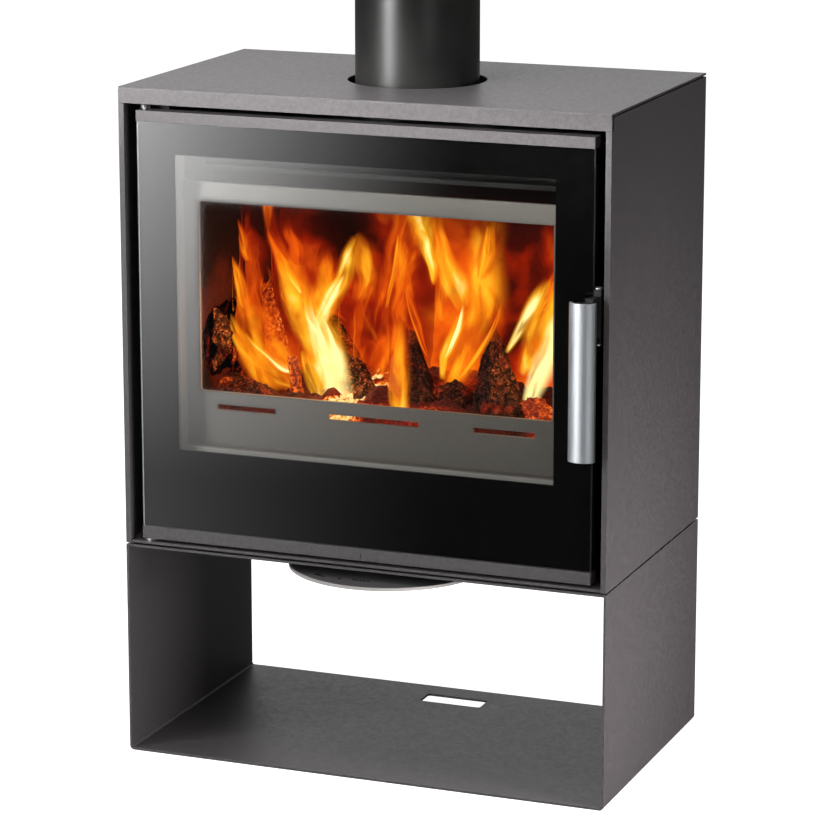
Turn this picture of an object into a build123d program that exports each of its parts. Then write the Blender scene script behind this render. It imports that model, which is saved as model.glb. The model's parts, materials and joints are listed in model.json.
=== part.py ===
from build123d import *
import os

# Free-standing wood burning stove, in millimetres.
# +X is the right-hand side seen from the front, +Y points to the back, +Z is up.
# The origin lies on the floor, under the middle of the steel body.

# ---------------------------------------------------------------- driving sizes
# Steel casing
BODY_W = 632.0
BODY_D = 376.0
TOP_Z = 847.0
SHEET = 3.0
HALF_W = BODY_W / 2
HALF_D = BODY_D / 2
FRONT = -HALF_D
BACK = HALF_D

# Open base, which stores the logs
BASE_H = 270.0
BASE_BEND = 6.0
BASE_SLOT_W = 84.0
BASE_SLOT_D = 32.0
BASE_SLOT_Y = 138.0

# Casing above the base
BODY_GAP = 2.5
BODY_Z = BASE_H + BODY_GAP
FLOOR_Z = BASE_H + 3.0
SIDE_SHEET = 2.5
TOP_SHEET = 2.5
TOP_GAP = 2.0
PANEL_TOP = TOP_Z - TOP_SHEET - TOP_GAP
APRON_H = 20.0
APRON_T = 3.0
APRON_Z = TOP_Z - APRON_H
SIDE_LIP = 7.0
REAR_PANEL_Y = BACK - 4.5

# Fire door
DOOR_HALF_W = 294.5
DOOR_Z0 = 279.5
DOOR_Z1 = 818.5
DOOR_FRONT = FRONT + 4.0
DOOR_BACK = -164.0
TOP_BAR_H = 13.5
BOTTOM_BAR_H = 15.0
GLASS_T = 4.0
GLASS_Y = DOOR_FRONT + 1.4
GLASS_BACK = GLASS_Y + GLASS_T
GLASS_BITE = 6.5
WINDOW_HALF_W = 245.0
WINDOW_Z0 = 396.0
WINDOW_Z1 = 765.5
PRINT_T = 0.4
GASKET_T = 2.0
FRAME_HALF_W = 288.5
FRAME_SHEET = 3.0
FRAME_Y = GLASS_BACK + PRINT_T + GASKET_T
ROPE_R = 6.6
ROPE_X = 272.0
ROPE_Z0 = 306.0
ROPE_Z1 = 792.0
ROPE_Y = -164.3
ROPE_BEND = 14.0

# Door hinge
HINGE_X = -287.0
HINGE_Y = -172.0
PIN_R = 3.5
BUSH_R = 5.0
RUNNING = 0.05

# Handle and latch
LATCH_X = 301.0
LATCH_Y = -184.0
LEVER_Z0 = 583.3
LEVER_Z1 = 631.7
EAR_T = 8.0
BAR_X0 = 273.8
BAR_X1 = 306.0
BAR_Z0 = 437.0
BAR_Z1 = 627.5
BAR_BACK = -206.0
BAR_SIDE = -211.0
BAR_NOSE = -218.0
BAR_WALL = 2.5

# Firebox
BOX_HALF_W = 262.0
BOX_WALL = 4.0
BOX_IN = BOX_HALF_W - BOX_WALL
BOX_Z0 = 300.0
BOX_Z1 = 806.0
BOX_BACK = 160.0
FLANGE_Y = -157.5
FLANGE_BACK = FLANGE_Y + BOX_WALL
FLANGE_HALF_W = 284.0
RECESS_Y = -143.0
RECESS_HALF_W = 250.0
RECESS_Z0 = 405.0
RECESS_Z1 = 765.0
LEDGE_Z = 398.0
MOUTH_HALF_W = 231.0
MOUTH_Z0 = 465.5
MOUTH_Z1 = 705.0
BAR_TOP = 728.5
PLATE_T = 4.0
HEARTH_Z = 378.0
LINING_T = 25.0
LINING_TOP = 712.0
LINING_FRONT = -138.5
LINING_BACK = 130.5
GRATE_HALF = 90.0
GRATE_Y = 5.0

# Ash pan
PAN_HALF_W = 118.0
PAN_Y0 = -152.0
PAN_Y1 = 70.0
PAN_Z0 = 316.0
PAN_Z1 = 368.0

# Flue
FLUE_Y = 5.0
FLUE_BORE_R = 75.0
FLUE_WALL = 2.0
FLUE_Z0 = 812.0
FLUE_LEN = 250.0
SPIGOT_R = 74.5
SPIGOT_WALL = 3.0
TOP_HOLE_R = 86.5

# Air control
DISC_Y = -92.0
DISC_R = 125.0
DISC_TOP = 255.5
DISC_T = 3.2
RIM_W = 2.5
COLLAR_R = 60.0
RISER_R = 34.0
GATE_T = 2.0
BOLT_R = 4.0

os.makedirs("parts", exist_ok=True)


# ---------------------------------------------------------------- shape helpers
def block(x0, x1, y0, y1, z0, z1):
    """A box between two corners."""
    body = Box(x1 - x0, y1 - y0, z1 - z0)
    return Pos((x0 + x1) / 2, (y0 + y1) / 2, (z0 + z1) / 2) * body


def both_sides(shape):
    """A shape and its mirror image about the middle plane."""
    return [shape, mirror(shape, Plane.YZ)]


def rod(x, y, radius, z0, z1):
    """An upright round bar."""
    return Pos(x, y, (z0 + z1) / 2) * Cylinder(radius, z1 - z0)


def tube(x, y, outer, inner, z0, z1):
    """An upright round tube."""
    return rod(x, y, outer, z0, z1) - rod(x, y, inner, z0 - 1, z1 + 1)


def rod_y(x, z, radius, y0, y1):
    """A round bar that lies along Y."""
    return Pos(x, (y0 + y1) / 2, z) * (Rot(90, 0, 0) * Cylinder(radius, y1 - y0))


def ring(outer_x, z0, z1, inner_x, in_z0, in_z1, y0, y1):
    """A rectangular picture frame that stands in the XZ plane."""
    opening = block(-inner_x, inner_x, y0 - 1, y1 + 1, in_z0, in_z1)
    return block(-outer_x, outer_x, y0, y1, z0, z1) - opening


def round_block(half, z0, z1, radius, y0, y1):
    """A block that fills a rounded rectangle in the XZ plane, between two depths."""
    face = Plane(origin=(0, y0, (z0 + z1) / 2), x_dir=(1, 0, 0), z_dir=(0, -1, 0))
    face = face * RectangleRounded(2 * half, z1 - z0, radius)
    return extrude(face, amount=y1 - y0, dir=(0, 1, 0))


def prism(points, z0, z1):
    """An upright prism over a flat outline."""
    outline = make_face(Polyline(*[(x, y, z0) for x, y in points], close=True))
    return extrude(outline, amount=z1 - z0, dir=(0, 0, 1))


def prism_x(points, x0, x1):
    """A prism along X over an outline given as (y, z) points."""
    outline = make_face(Polyline(*[(x0, y, z) for y, z in points], close=True))
    return extrude(outline, amount=x1 - x0, dir=(1, 0, 0))


def save(name, shapes):
    """Write one named piece, or one group of equal pieces."""
    if isinstance(shapes, list):
        solids = [s for shape in shapes for s in shape.solids()]
    else:
        solids = shapes.solids()
    piece = solids[0] if len(solids) == 1 else Compound(children=solids)
    piece.label = name
    export_step(piece, f"parts/{name}.step")


# ---------------------------------------------------------------- open base
def base_shell():
    """Floor and two walls of the log store, bent from one sheet and open front and back."""
    outer = block(-HALF_W, HALF_W, FRONT, BACK, 0, BASE_H)
    low_edges = outer.edges().filter_by(Axis.Y).sort_by(Axis.Z)[:2]
    outer = fillet(low_edges, BASE_BEND)
    inner = block(-HALF_W + SHEET, HALF_W - SHEET, FRONT - 1, BACK + 1, SHEET, BASE_H + 9)
    low_edges = inner.edges().filter_by(Axis.Y).sort_by(Axis.Z)[:2]
    inner = fillet(low_edges, BASE_BEND - SHEET)
    slot = Pos(0, BASE_SLOT_Y, 0) * Box(BASE_SLOT_W, BASE_SLOT_D, 40)
    slot = fillet(slot.edges().filter_by(Axis.Z), 4)
    return outer - inner - slot


JOIN_BOLTS = [(sx * 270, sy * 140) for sx in (-1, 1) for sy in (-1, 1)]
JOIN_R = 4.0


def base_top_plate():
    """Roof of the log store, which carries the casing."""
    plate = block(-HALF_W + SHEET, HALF_W - SHEET, FRONT + 2, BACK - 2, BASE_H - SHEET, BASE_H)
    plate -= rod(0, DISC_Y, COLLAR_R + 0.3, 200, 300)
    for x, y in JOIN_BOLTS:
        plate -= rod(x, y, JOIN_R + 0.3, 200, 300)
    return plate


def joining_bolts():
    """Four bolts and nuts that hold the casing on the base."""
    bolts = []
    for x, y in JOIN_BOLTS:
        head = rod(x, y, 7, BASE_H - SHEET - 5, BASE_H - SHEET)
        bolts.append(head + rod(x, y, JOIN_R, BASE_H - SHEET, 285))
    return bolts


def joining_nuts():
    """Hexagon nuts on the joining bolts."""
    nuts = []
    for x, y in JOIN_BOLTS:
        nut = Pos(x, y, FLOOR_Z + SHEET) * extrude(RegularPolygon(7.5, 6), 6.5)
        nuts.append(nut - rod(x, y, JOIN_R + 0.1, 200, 300))
    return nuts


def spacer_washers():
    """Washers that keep the shadow gap between base and casing."""
    return [tube(x, y, 10, JOIN_R + 0.3, BASE_H, FLOOR_Z) for x, y in JOIN_BOLTS]


# ---------------------------------------------------------------- casing
def body_floor_plate():
    """Floor of the casing, whose front edge shows as a lip under the door."""
    inside = HALF_W - SIDE_SHEET - 0.1
    plate = block(-inside, inside, FRONT + 1, REAR_PANEL_Y - 0.2, FLOOR_Z, FLOOR_Z + SHEET)
    for side in (-1, 1):
        x0, x1 = sorted((side * (HALF_W - SIDE_LIP - 0.2), side * HALF_W))
        plate -= block(x0, x1, FRONT, FRONT + 12.5, FLOOR_Z - 1, FLOOR_Z + SHEET + 1)
    plate -= rod(0, DISC_Y, RISER_R - 3, 200, 300)
    plate -= rod(HINGE_X, HINGE_Y, PIN_R + RUNNING, 200, 300)
    for x, y in JOIN_BOLTS:
        plate -= rod(x, y, JOIN_R + 0.3, 200, 300)
    return plate


REAR_SCREW_Z = [300, 470, 650, 815]
REAR_SCREW_X = 305.0
NOTCH_D = 8.5


def right_side_panel():
    """Side sheet with a folded lip in front, a flange behind and two raised studs on its folded top."""
    inner = HALF_W - SIDE_SHEET
    lip_x = HALF_W - SIDE_LIP
    flange_front = REAR_PANEL_Y - 2.5
    z0 = FLOOR_Z + SHEET + 1
    panel = block(inner, HALF_W, FRONT, BACK, BODY_Z, PANEL_TOP)
    panel += block(lip_x, HALF_W, FRONT, FRONT + SIDE_SHEET, BODY_Z, PANEL_TOP)
    panel += block(lip_x, lip_x + 2, FRONT, FRONT + 12, z0, PANEL_TOP)
    panel += block(298, inner, flange_front, REAR_PANEL_Y - 0.1, z0, PANEL_TOP - 4)
    panel += block(296, inner, -150, 150, PANEL_TOP - 2, PANEL_TOP)
    for y in (-135, 135):
        panel += rod(303, y, 5, PANEL_TOP - 0.5, TOP_Z - TOP_SHEET)
    panel -= block(lip_x - 1, HALF_W + 1, FRONT - 1, FRONT + NOTCH_D, APRON_Z - 0.3, TOP_Z)
    for z in REAR_SCREW_Z:
        panel -= rod_y(REAR_SCREW_X, z, 2.2, flange_front - 1, REAR_PANEL_Y + 5)
    return panel


def rear_panel():
    """Back sheet with two rows of convection slots."""
    half = HALF_W - SIDE_SHEET - 0.3
    panel = block(-half, half, REAR_PANEL_Y, REAR_PANEL_Y + 2.5, FLOOR_Z, TOP_Z - TOP_SHEET - 0.5)
    for row_z in (330, 780):
        for column in range(-6, 7):
            panel -= block(column * 40 - 4, column * 40 + 4, 150, 200, row_z - 22, row_z + 22)
    for x in (-REAR_SCREW_X, REAR_SCREW_X):
        for z in REAR_SCREW_Z:
            panel -= rod_y(x, z, 2.2, 150, 200)
    return panel


def rear_panel_screws():
    """Pan-head screws that hold the rear panel."""
    screws = []
    for x in (-REAR_SCREW_X, REAR_SCREW_X):
        for z in REAR_SCREW_Z:
            head = rod_y(x, z, 4, REAR_PANEL_Y + 2.5, REAR_PANEL_Y + 4.5)
            screws.append(head + rod_y(x, z, 2, REAR_PANEL_Y - 6, REAR_PANEL_Y + 2.5))
    return screws


def top_plate():
    """Folded top sheet with a front apron and the round opening for the flue."""
    plate = block(-HALF_W, HALF_W, FRONT, BACK, TOP_Z - TOP_SHEET, TOP_Z)
    plate += block(-HALF_W, HALF_W, FRONT, FRONT + APRON_T, APRON_Z, TOP_Z)
    edge = plate.edges().filter_by(Axis.X).filter_by_position(Axis.Y, FRONT - 0.1, FRONT + 0.1)
    plate = fillet(edge.sort_by(Axis.Z)[-1:], 2)
    plate -= rod(0, FLUE_Y, TOP_HOLE_R, 800, 900)
    return plate


# ---------------------------------------------------------------- firebox steelwork
def firebox_rails():
    """Two upturned channels that the firebox stands on."""
    z0 = FLOOR_Z + SHEET
    rail = block(180, 220, -130, 150, z0, BOX_Z0) - block(183, 217, -131, 151, z0 - 1, BOX_Z0 - 3)
    return both_sides(rail)


LUG_TOP = 768.0


def firebox_shell():
    """Welded steel box, open at the front, with the flue hole in its roof."""
    inside_z = BOX_Z0 + BOX_WALL, BOX_Z1 - BOX_WALL
    shell = block(-BOX_HALF_W, BOX_HALF_W, FLANGE_BACK, BOX_BACK, BOX_Z0, BOX_Z1)
    shell -= block(-BOX_IN, BOX_IN, FLANGE_BACK - 1, BOX_BACK - BOX_WALL, *inside_z)
    shell -= rod(0, FLUE_Y, SPIGOT_R - SPIGOT_WALL, BOX_Z1 - 10, BOX_Z1 + 1)
    shell -= rod(0, DISC_Y, RISER_R - 3, BOX_Z0 - 1, BOX_Z0 + 10)
    for side in (-1, 1):
        x0, x1 = sorted((side * (BOX_IN - 1), side * (BOX_HALF_W + 1)))
        shell -= block(x0, x1, -122, -98, 752, 790)
        x0, x1 = sorted((side * (BOX_IN - 14), side * BOX_IN))
        shell += block(x0, x1, -80, 75, LUG_TOP - 3, LUG_TOP)
    return shell


def firebox_front_flange():
    """Flat face that the door rope presses on, with the fire and ash openings."""
    plate = block(-FLANGE_HALF_W, FLANGE_HALF_W, FLANGE_Y, FLANGE_BACK, 288, 812)
    plate -= block(-BOX_IN, BOX_IN, -200, -100, RECESS_Z0 - 15, RECESS_Z1 + 10)
    ash_mouth = block(-125, 125, -200, -100, 314, 372)
    ash_mouth = fillet(ash_mouth.edges().filter_by(Axis.Y), 6)
    return plate - ash_mouth


def frame_loft(front_x, front_z0, front_z1, back_x, back_z0, back_z1, front_y, back_y):
    """A solid that tapers from a rectangle in front to a smaller one behind."""
    faces = []
    for half, z0, z1, y in ((front_x, front_z0, front_z1, front_y), (back_x, back_z0, back_z1, back_y)):
        corners = [(-half, y, z0), (half, y, z0), (half, y, z1), (-half, y, z1)]
        faces.append(make_face(Polyline(*corners, close=True)))
    return loft(faces, ruled=True)


def firebox_recess_rim():
    """Steel rim of the recess: bevelled sides and top, over a level ledge."""
    z0 = LEDGE_Z
    z1 = RECESS_Z1
    outer = frame_loft(BOX_IN, RECESS_Z0 - 15, z1 + 10, 252, z0 - 3, z1 + 2, FLANGE_Y, RECESS_Y)
    inner = frame_loft(BOX_IN - 2.1, z0, z1 + 8.2, RECESS_HALF_W, z0, z1, FLANGE_Y, RECESS_Y)
    rim = outer - inner
    along_x = rim.edges().filter_by(Axis.X)
    ledge_edge = along_x.filter_by_position(Axis.Z, z0 - 0.1, z0 + 0.1).sort_by(Axis.Y)[:1]
    return fillet(ledge_edge, 1.2)


AIR_SLOTS = [(0.0, 119.0), (-169.6, 79.0), (169.6, 79.0)]
AIR_SLOT_Z = 446.0
AIR_SLOT_H = 7.0


def firebox_front_plate():
    """Recessed plate that frames the fire, with three air slots under the mouth."""
    half = BOX_IN - 0.2
    plate = block(-half, half, RECESS_Y, RECESS_Y + PLATE_T, HEARTH_Z + 0.2, BAR_TOP)
    mouth = block(-MOUTH_HALF_W, MOUTH_HALF_W, -200, -100, MOUTH_Z0, MOUTH_Z1)
    plate -= fillet(mouth.edges().filter_by(Axis.Y), 3)
    for x, width in AIR_SLOTS:
        z0 = AIR_SLOT_Z - AIR_SLOT_H / 2
        slot = block(x - width / 2, x + width / 2, -200, -100, z0, z0 + AIR_SLOT_H)
        plate -= fillet(slot.edges().filter_by(Axis.Y), 1)
    return plate


def air_wash_bar():
    """Sloping strip over the mouth that turns the wash air down the glass."""
    back = RECESS_Y - 0.2
    profile = [
        (back, MOUTH_Z1),
        (RECESS_Y - 6, MOUTH_Z1),
        (RECESS_Y - 6, MOUTH_Z1 + 2.5),
        (RECESS_Y - 1.7, BAR_TOP),
        (back, BAR_TOP),
    ]
    return prism_x(profile, -RECESS_HALF_W + 0.5, RECESS_HALF_W - 0.5)


def wash_air_duct():
    """Folded duct under the firebox roof that feeds air to the top of the glass."""
    z1 = BOX_Z1 - BOX_WALL - 0.2
    duct = block(-BOX_IN + 0.2, BOX_IN - 0.2, -128, -92, 742, z1)
    duct -= block(-BOX_IN - 1, BOX_IN + 1, -126, -94, 744, z1 - 2)
    duct -= block(-230, 230, -130, -125, 748, 754)
    return duct


def wash_air_risers():
    """Upright channels on the firebox sides that carry air up to the duct."""
    riser = block(BOX_HALF_W, 282, -130, -90, BOX_Z0, 800)
    riser -= block(BOX_HALF_W - 1, 280, -128, -92, BOX_Z0 - 1, 798)
    return both_sides(riser)


def hearth_plate():
    """Welded shelf that carries the grate and the hearth bricks."""
    plate = block(-BOX_IN + 0.1, BOX_IN - 0.1, FLANGE_BACK, BOX_BACK - BOX_WALL, HEARTH_Z - 4, HEARTH_Z)
    return plate - block(-75, 75, GRATE_Y - 75, GRATE_Y + 75, 300, 400)


# ---------------------------------------------------------------- firebox contents
def grate():
    """Cast-iron grate with long slots for ash and primary air."""
    half = GRATE_HALF
    plate = block(-half, half, GRATE_Y - half, GRATE_Y + half, HEARTH_Z, HEARTH_Z + 16)
    plate = fillet(plate.edges().filter_by(Axis.Z), 5)
    for column in range(-3, 4):
        x = column * 20
        slot = block(x - 5, x + 5, GRATE_Y - 68, GRATE_Y + 68, HEARTH_Z - 1, HEARTH_Z + 20)
        plate -= fillet(slot.edges().filter_by(Axis.Z), 4.5)
    return plate


def hearth_bricks():
    """Four firebricks around the grate."""
    side = BOX_IN - 0.3
    inner = GRATE_HALF + 0.5
    z1 = HEARTH_Z + LINING_T
    right = block(inner, side, LINING_FRONT, LINING_BACK, HEARTH_Z, z1)
    front = block(-GRATE_HALF, GRATE_HALF, LINING_FRONT, GRATE_Y - inner, HEARTH_Z, z1)
    rear = block(-GRATE_HALF, GRATE_HALF, GRATE_Y + inner, LINING_BACK, HEARTH_Z, z1)
    return both_sides(right) + [front, rear]


def right_lining():
    """Side lining board."""
    x1 = BOX_IN - 0.3
    return block(x1 - LINING_T, x1, LINING_FRONT, LINING_BACK, HEARTH_Z + LINING_T + 0.2, LINING_TOP)


def rear_linings():
    """Two boards side by side that line the back."""
    x1 = BOX_IN - 0.3
    y0 = LINING_BACK + 0.3
    return both_sides(block(0.3, x1, y0, y0 + LINING_T, HEARTH_Z + 0.2, LINING_TOP))


def lower_baffle():
    """Lining board that lies on the side and rear boards and turns the smoke forward."""
    side = BOX_IN - 0.5
    return block(-side, side, -38, LINING_BACK + LINING_T, LINING_TOP + 0.2, LINING_TOP + LINING_T)


def upper_baffle_plate():
    """Steel deflector on two lugs under the flue."""
    plate = block(-255, 255, -85, 80, LUG_TOP + 0.2, LUG_TOP + 3.2)
    return plate + block(-240, 240, 77, 80, LUG_TOP - 12, LUG_TOP + 3.2)


def ash_pan():
    """Folded steel pan with a small pull tab."""
    pan = block(-PAN_HALF_W, PAN_HALF_W, PAN_Y0, PAN_Y1, PAN_Z0, PAN_Z1)
    pan -= block(-PAN_HALF_W + 1.5, PAN_HALF_W - 1.5, PAN_Y0 + 1.5, PAN_Y1 - 1.5, PAN_Z0 + 1.5, PAN_Z1 + 1)
    tab = block(-32, 32, PAN_Y0 - 8, PAN_Y0, PAN_Z1 - 14, PAN_Z1 - 11)
    return pan + tab


def ash_pan_runners():
    """Two strips that the ash pan slides on."""
    return both_sides(block(95, 110, -140, 60, BOX_Z0 + BOX_WALL, PAN_Z0))


# ---------------------------------------------------------------- flue
def flue_spigot():
    """Flanged spigot welded on the firebox roof."""
    flange = rod(0, FLUE_Y, 98, BOX_Z1, BOX_Z1 + 4)
    pipe = rod(0, FLUE_Y, SPIGOT_R, BOX_Z1, BOX_Z1 + 62)
    return flange + pipe - rod(0, FLUE_Y, SPIGOT_R - SPIGOT_WALL, BOX_Z1 - 1, BOX_Z1 + 70)


def flue_pipe():
    """Straight flue pipe with a rolled stop bead below its socket end."""
    r0 = FLUE_BORE_R
    r1 = FLUE_BORE_R + FLUE_WALL
    z1 = FLUE_Z0 + FLUE_LEN
    bead = z1 - 60
    profile = [
        (r1, FLUE_Z0),
        (r1, bead - 5),
        (r1 - 2, bead - 2),
        (r1 - 2, bead + 1),
        (r1, bead + 4),
        (r1, z1),
        (r0, z1),
        (r0, bead + 4),
        (r0 - 2, bead + 1),
        (r0 - 2, bead - 2),
        (r0, bead - 5),
        (r0, FLUE_Z0),
    ]
    outline = make_face(Polyline(*[(r, 0, z) for r, z in profile], close=True))
    return Pos(0, FLUE_Y, 0) * revolve(outline, Axis.Z, 360)


# ---------------------------------------------------------------- air control
def kidney(radius, width, start, sweep_angle, z0, z1):
    """A curved slot about the disc centre."""
    band = Pos(0, DISC_Y, 0) * (Cylinder(radius + width / 2, 40) - Cylinder(radius - width / 2, 50))
    band = Pos(0, 0, (z0 + z1) / 2) * band
    reach = 2 * radius
    wedge = [(0, 0)]
    for step in range(5):
        spot = Vector(reach, 0).rotate(Axis.Z, start + sweep_angle * step / 4)
        wedge.append((spot.X, spot.Y))
    return band & (Pos(0, DISC_Y, 0) * prism(wedge, z0, z1))


def air_disc():
    """Round control plate with two curved air openings near its centre."""
    plate = rod(0, DISC_Y, DISC_R - RIM_W, DISC_TOP - DISC_T + 0.5, DISC_TOP)
    plate -= rod(0, DISC_Y, BOLT_R + RUNNING, 200, 300)
    for start in (10, 190):
        plate -= kidney(38, 22, start, 70, 240, 260)
    return plate


def air_disc_rim():
    """Bright rim band around the control plate."""
    return tube(0, DISC_Y, DISC_R, DISC_R - RIM_W, DISC_TOP - DISC_T, DISC_TOP + 0.3)


def air_gate_plate():
    """Fixed plate above the disc, with openings that the disc covers or frees."""
    z0 = DISC_TOP + 0.5
    plate = rod(0, DISC_Y, COLLAR_R, z0, z0 + GATE_T)
    plate -= rod(0, DISC_Y, BOLT_R + 0.1, 200, 300)
    for start in (10, 190):
        plate -= kidney(38, 22, start, 70, 240, 280)
    return plate


def air_inlet_collar():
    """Round air chamber between the gate plate and the casing floor."""
    return tube(0, DISC_Y, COLLAR_R, COLLAR_R - 3, DISC_TOP + 0.5 + GATE_T, FLOOR_Z)


def air_riser():
    """Short round trunk from the casing floor into the firebox."""
    return tube(0, DISC_Y, RISER_R, RISER_R - 3, FLOOR_Z + SHEET, BOX_Z0)


def air_disc_bolt():
    """Centre bolt that the air disc turns on."""
    head_z = DISC_TOP - DISC_T
    head = rod(0, DISC_Y, 8, head_z - 4, head_z + 0.2)
    return head + rod(0, DISC_Y, BOLT_R, head_z + 0.2, 268)


def air_disc_nut():
    """Nut that clamps the centre bolt to the gate plate."""
    z0 = DISC_TOP + 0.5 + GATE_T
    nut = Pos(0, DISC_Y, z0) * extrude(RegularPolygon(7.5, 6), 6.5)
    return nut - rod(0, DISC_Y, BOLT_R + 0.1, 200, 300)


# ---------------------------------------------------------------- door
def door_bar(z0, z1, groove_z0, groove_z1, bush_z0, bush_z1):
    """Full-width steel bar that holds one edge of the glass and a hinge bush."""
    bar = block(-DOOR_HALF_W, DOOR_HALF_W, DOOR_FRONT, DOOR_BACK, z0, z1)
    bar -= block(-400, 400, GLASS_Y - 0.2, GLASS_BACK + 0.2, groove_z0, groove_z1)
    bar -= rod(HINGE_X, HINGE_Y, BUSH_R + RUNNING, bush_z0, bush_z1)
    return bar


def door_top_bar():
    """Upper bar of the door."""
    z0 = DOOR_Z1 - TOP_BAR_H
    return door_bar(z0, DOOR_Z1, z0 - 1, z0 + GLASS_BITE + 0.5, z0 + 1, DOOR_Z1 + 1)


def door_bottom_bar():
    """Lower bar of the door, with a short index mark cut in its middle."""
    z1 = DOOR_Z0 + BOTTOM_BAR_H
    bar = door_bar(DOOR_Z0, z1, z1 - GLASS_BITE - 0.5, z1 + 1, DOOR_Z0 - 1, z1 - 2.5)
    return bar - block(-0.9, 0.9, DOOR_FRONT - 1, DOOR_FRONT + 1, DOOR_Z0 + 3, DOOR_Z0 + 9)


GLASS_Z0 = DOOR_Z0 + BOTTOM_BAR_H - GLASS_BITE
GLASS_Z1 = DOOR_Z1 - TOP_BAR_H + GLASS_BITE
CLEAR_Z0 = DOOR_Z0 + BOTTOM_BAR_H
CLEAR_Z1 = DOOR_Z1 - TOP_BAR_H


def door_glass():
    """Ceramic glass pane over the full width of the door."""
    pane = block(-DOOR_HALF_W, DOOR_HALF_W, GLASS_Y, GLASS_BACK, GLASS_Z0, GLASS_Z1)
    upright = pane.edges().filter_by(Axis.Z).filter_by_position(Axis.Y, GLASS_Y - 0.1, GLASS_Y + 0.1)
    return chamfer(upright, 0.8)


def glass_black_border():
    """Fired black print on the back of the pane, with the clear window left out."""
    half = DOOR_HALF_W - 0.2
    z0 = CLEAR_Z0 + 0.3
    z1 = CLEAR_Z1 - 0.3
    back = GLASS_BACK + PRINT_T
    return ring(half, z0, z1, WINDOW_HALF_W, WINDOW_Z0, WINDOW_Z1, GLASS_BACK, back)


def glass_gasket():
    """Flat glass-fibre tape between pane and frame."""
    y0 = GLASS_BACK + PRINT_T
    return ring(262, WINDOW_Z0 - 17, WINDOW_Z1 + 17, 247, WINDOW_Z0 - 2, WINDOW_Z1 + 2, y0, y0 + GASKET_T)


def door_frame():
    """Pressed steel frame behind the glass, stiffened by its folded edges."""
    y0 = FRAME_Y
    y1 = FRAME_Y + FRAME_SHEET
    half = FRAME_HALF_W
    frame = ring(half, CLEAR_Z0, CLEAR_Z1, 247, WINDOW_Z0 - 2, WINDOW_Z1 + 2, y0, y1)
    frame += ring(half, CLEAR_Z0, CLEAR_Z1, half - 2.5, CLEAR_Z0 + 2.5, CLEAR_Z1 - 2.5, y0, DOOR_BACK)
    lip = ring(249.5, WINDOW_Z0 - 4.5, WINDOW_Z1 + 4.5, 247, WINDOW_Z0 - 2, WINDOW_Z1 + 2, y0, DOOR_BACK - 4)
    return frame + lip


def seal_channel():
    """Channel on the back of the frame that holds the door rope."""
    y0 = FRAME_Y + FRAME_SHEET
    w0 = ROPE_R + 0.1
    w1 = w0 + 1.5

    def loop(width, front, back):
        around = (ROPE_X + width, ROPE_Z0 - width, ROPE_Z1 + width, ROPE_BEND + width)
        within = (ROPE_X - width, ROPE_Z0 + width, ROPE_Z1 - width, ROPE_BEND - width)
        return round_block(*around, front, back) - round_block(*within, front - 1, back + 1)

    channel = loop(w1, y0, y0 + 8)
    hollow = loop(w0, y0 + 2.1, y0 + 9)
    return channel - hollow


def door_seal_rope():
    """Round glass-fibre rope that seals the door on the firebox flange."""
    width = 2 * ROPE_X
    height = ROPE_Z1 - ROPE_Z0
    centre = Plane(origin=(0, ROPE_Y, (ROPE_Z0 + ROPE_Z1) / 2), x_dir=(1, 0, 0), z_dir=(0, -1, 0))
    path = (centre * RectangleRounded(width, height, ROPE_BEND)).face().outer_wire()
    start = path @ 0
    section = Plane(origin=start, z_dir=path % 0) * Circle(ROPE_R)
    return sweep(section, path=path)


def hinge_bushes():
    """Bushes in the door bars that turn on the hinge pins."""
    top = tube(HINGE_X, HINGE_Y, BUSH_R, PIN_R + RUNNING, DOOR_Z1 - TOP_BAR_H + 1, DOOR_Z1)
    low = tube(HINGE_X, HINGE_Y, BUSH_R, PIN_R + RUNNING, DOOR_Z0, DOOR_Z0 + BOTTOM_BAR_H - 2.5)
    return [top, low]


# ---------------------------------------------------------------- hinge on the casing
HINGE_PLATE_Z = 826.8


def upper_hinge_bracket():
    """Folded bracket that carries the upper hinge pin behind the apron."""
    z1 = HINGE_PLATE_Z + 3
    bracket = block(-300, -262, -181.5, FLANGE_BACK, HINGE_PLATE_Z, z1)
    bracket += block(-FLANGE_HALF_W, -262, FLANGE_Y, FLANGE_BACK, 812, z1)
    return bracket - rod(HINGE_X, HINGE_Y, PIN_R + RUNNING, 800, 900)


def upper_hinge_pin():
    """Headed pin through the upper bracket into the door."""
    z1 = HINGE_PLATE_Z + 3
    shank = rod(HINGE_X, HINGE_Y, PIN_R, DOOR_Z1 - TOP_BAR_H + 2.5, z1)
    return shank + rod(HINGE_X, HINGE_Y, 5.5, z1, z1 + 2.2)


def lower_hinge_pin():
    """Headed pin through the casing floor into the door."""
    top = DOOR_Z0 + BOTTOM_BAR_H - 4
    return rod(HINGE_X, HINGE_Y, PIN_R, FLOOR_Z, top) + rod(HINGE_X, HINGE_Y, 5.5, FLOOR_Z - 2, FLOOR_Z)


def hinge_thrust_washer():
    """Washer that carries the weight of the door."""
    return tube(HINGE_X, HINGE_Y, 9, PIN_R + RUNNING, FLOOR_Z + SHEET, DOOR_Z0 - 0.1)


def door_closing_spring():
    """Torsion spring round the upper pin that pulls the door shut."""
    coil = Helix(pitch=1.6, height=5.2, radius=5.4)
    section = Plane(origin=coil @ 0, z_dir=coil % 0) * Circle(0.6)
    wire = sweep(section, path=coil, is_frenet=True)
    return Pos(HINGE_X, HINGE_Y, DOOR_Z1 + 1.4) * wire


# ---------------------------------------------------------------- handle and latch
EAR_Z = [LEVER_Z0 - 0.3 - EAR_T, LEVER_Z1 + 0.3]


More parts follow.
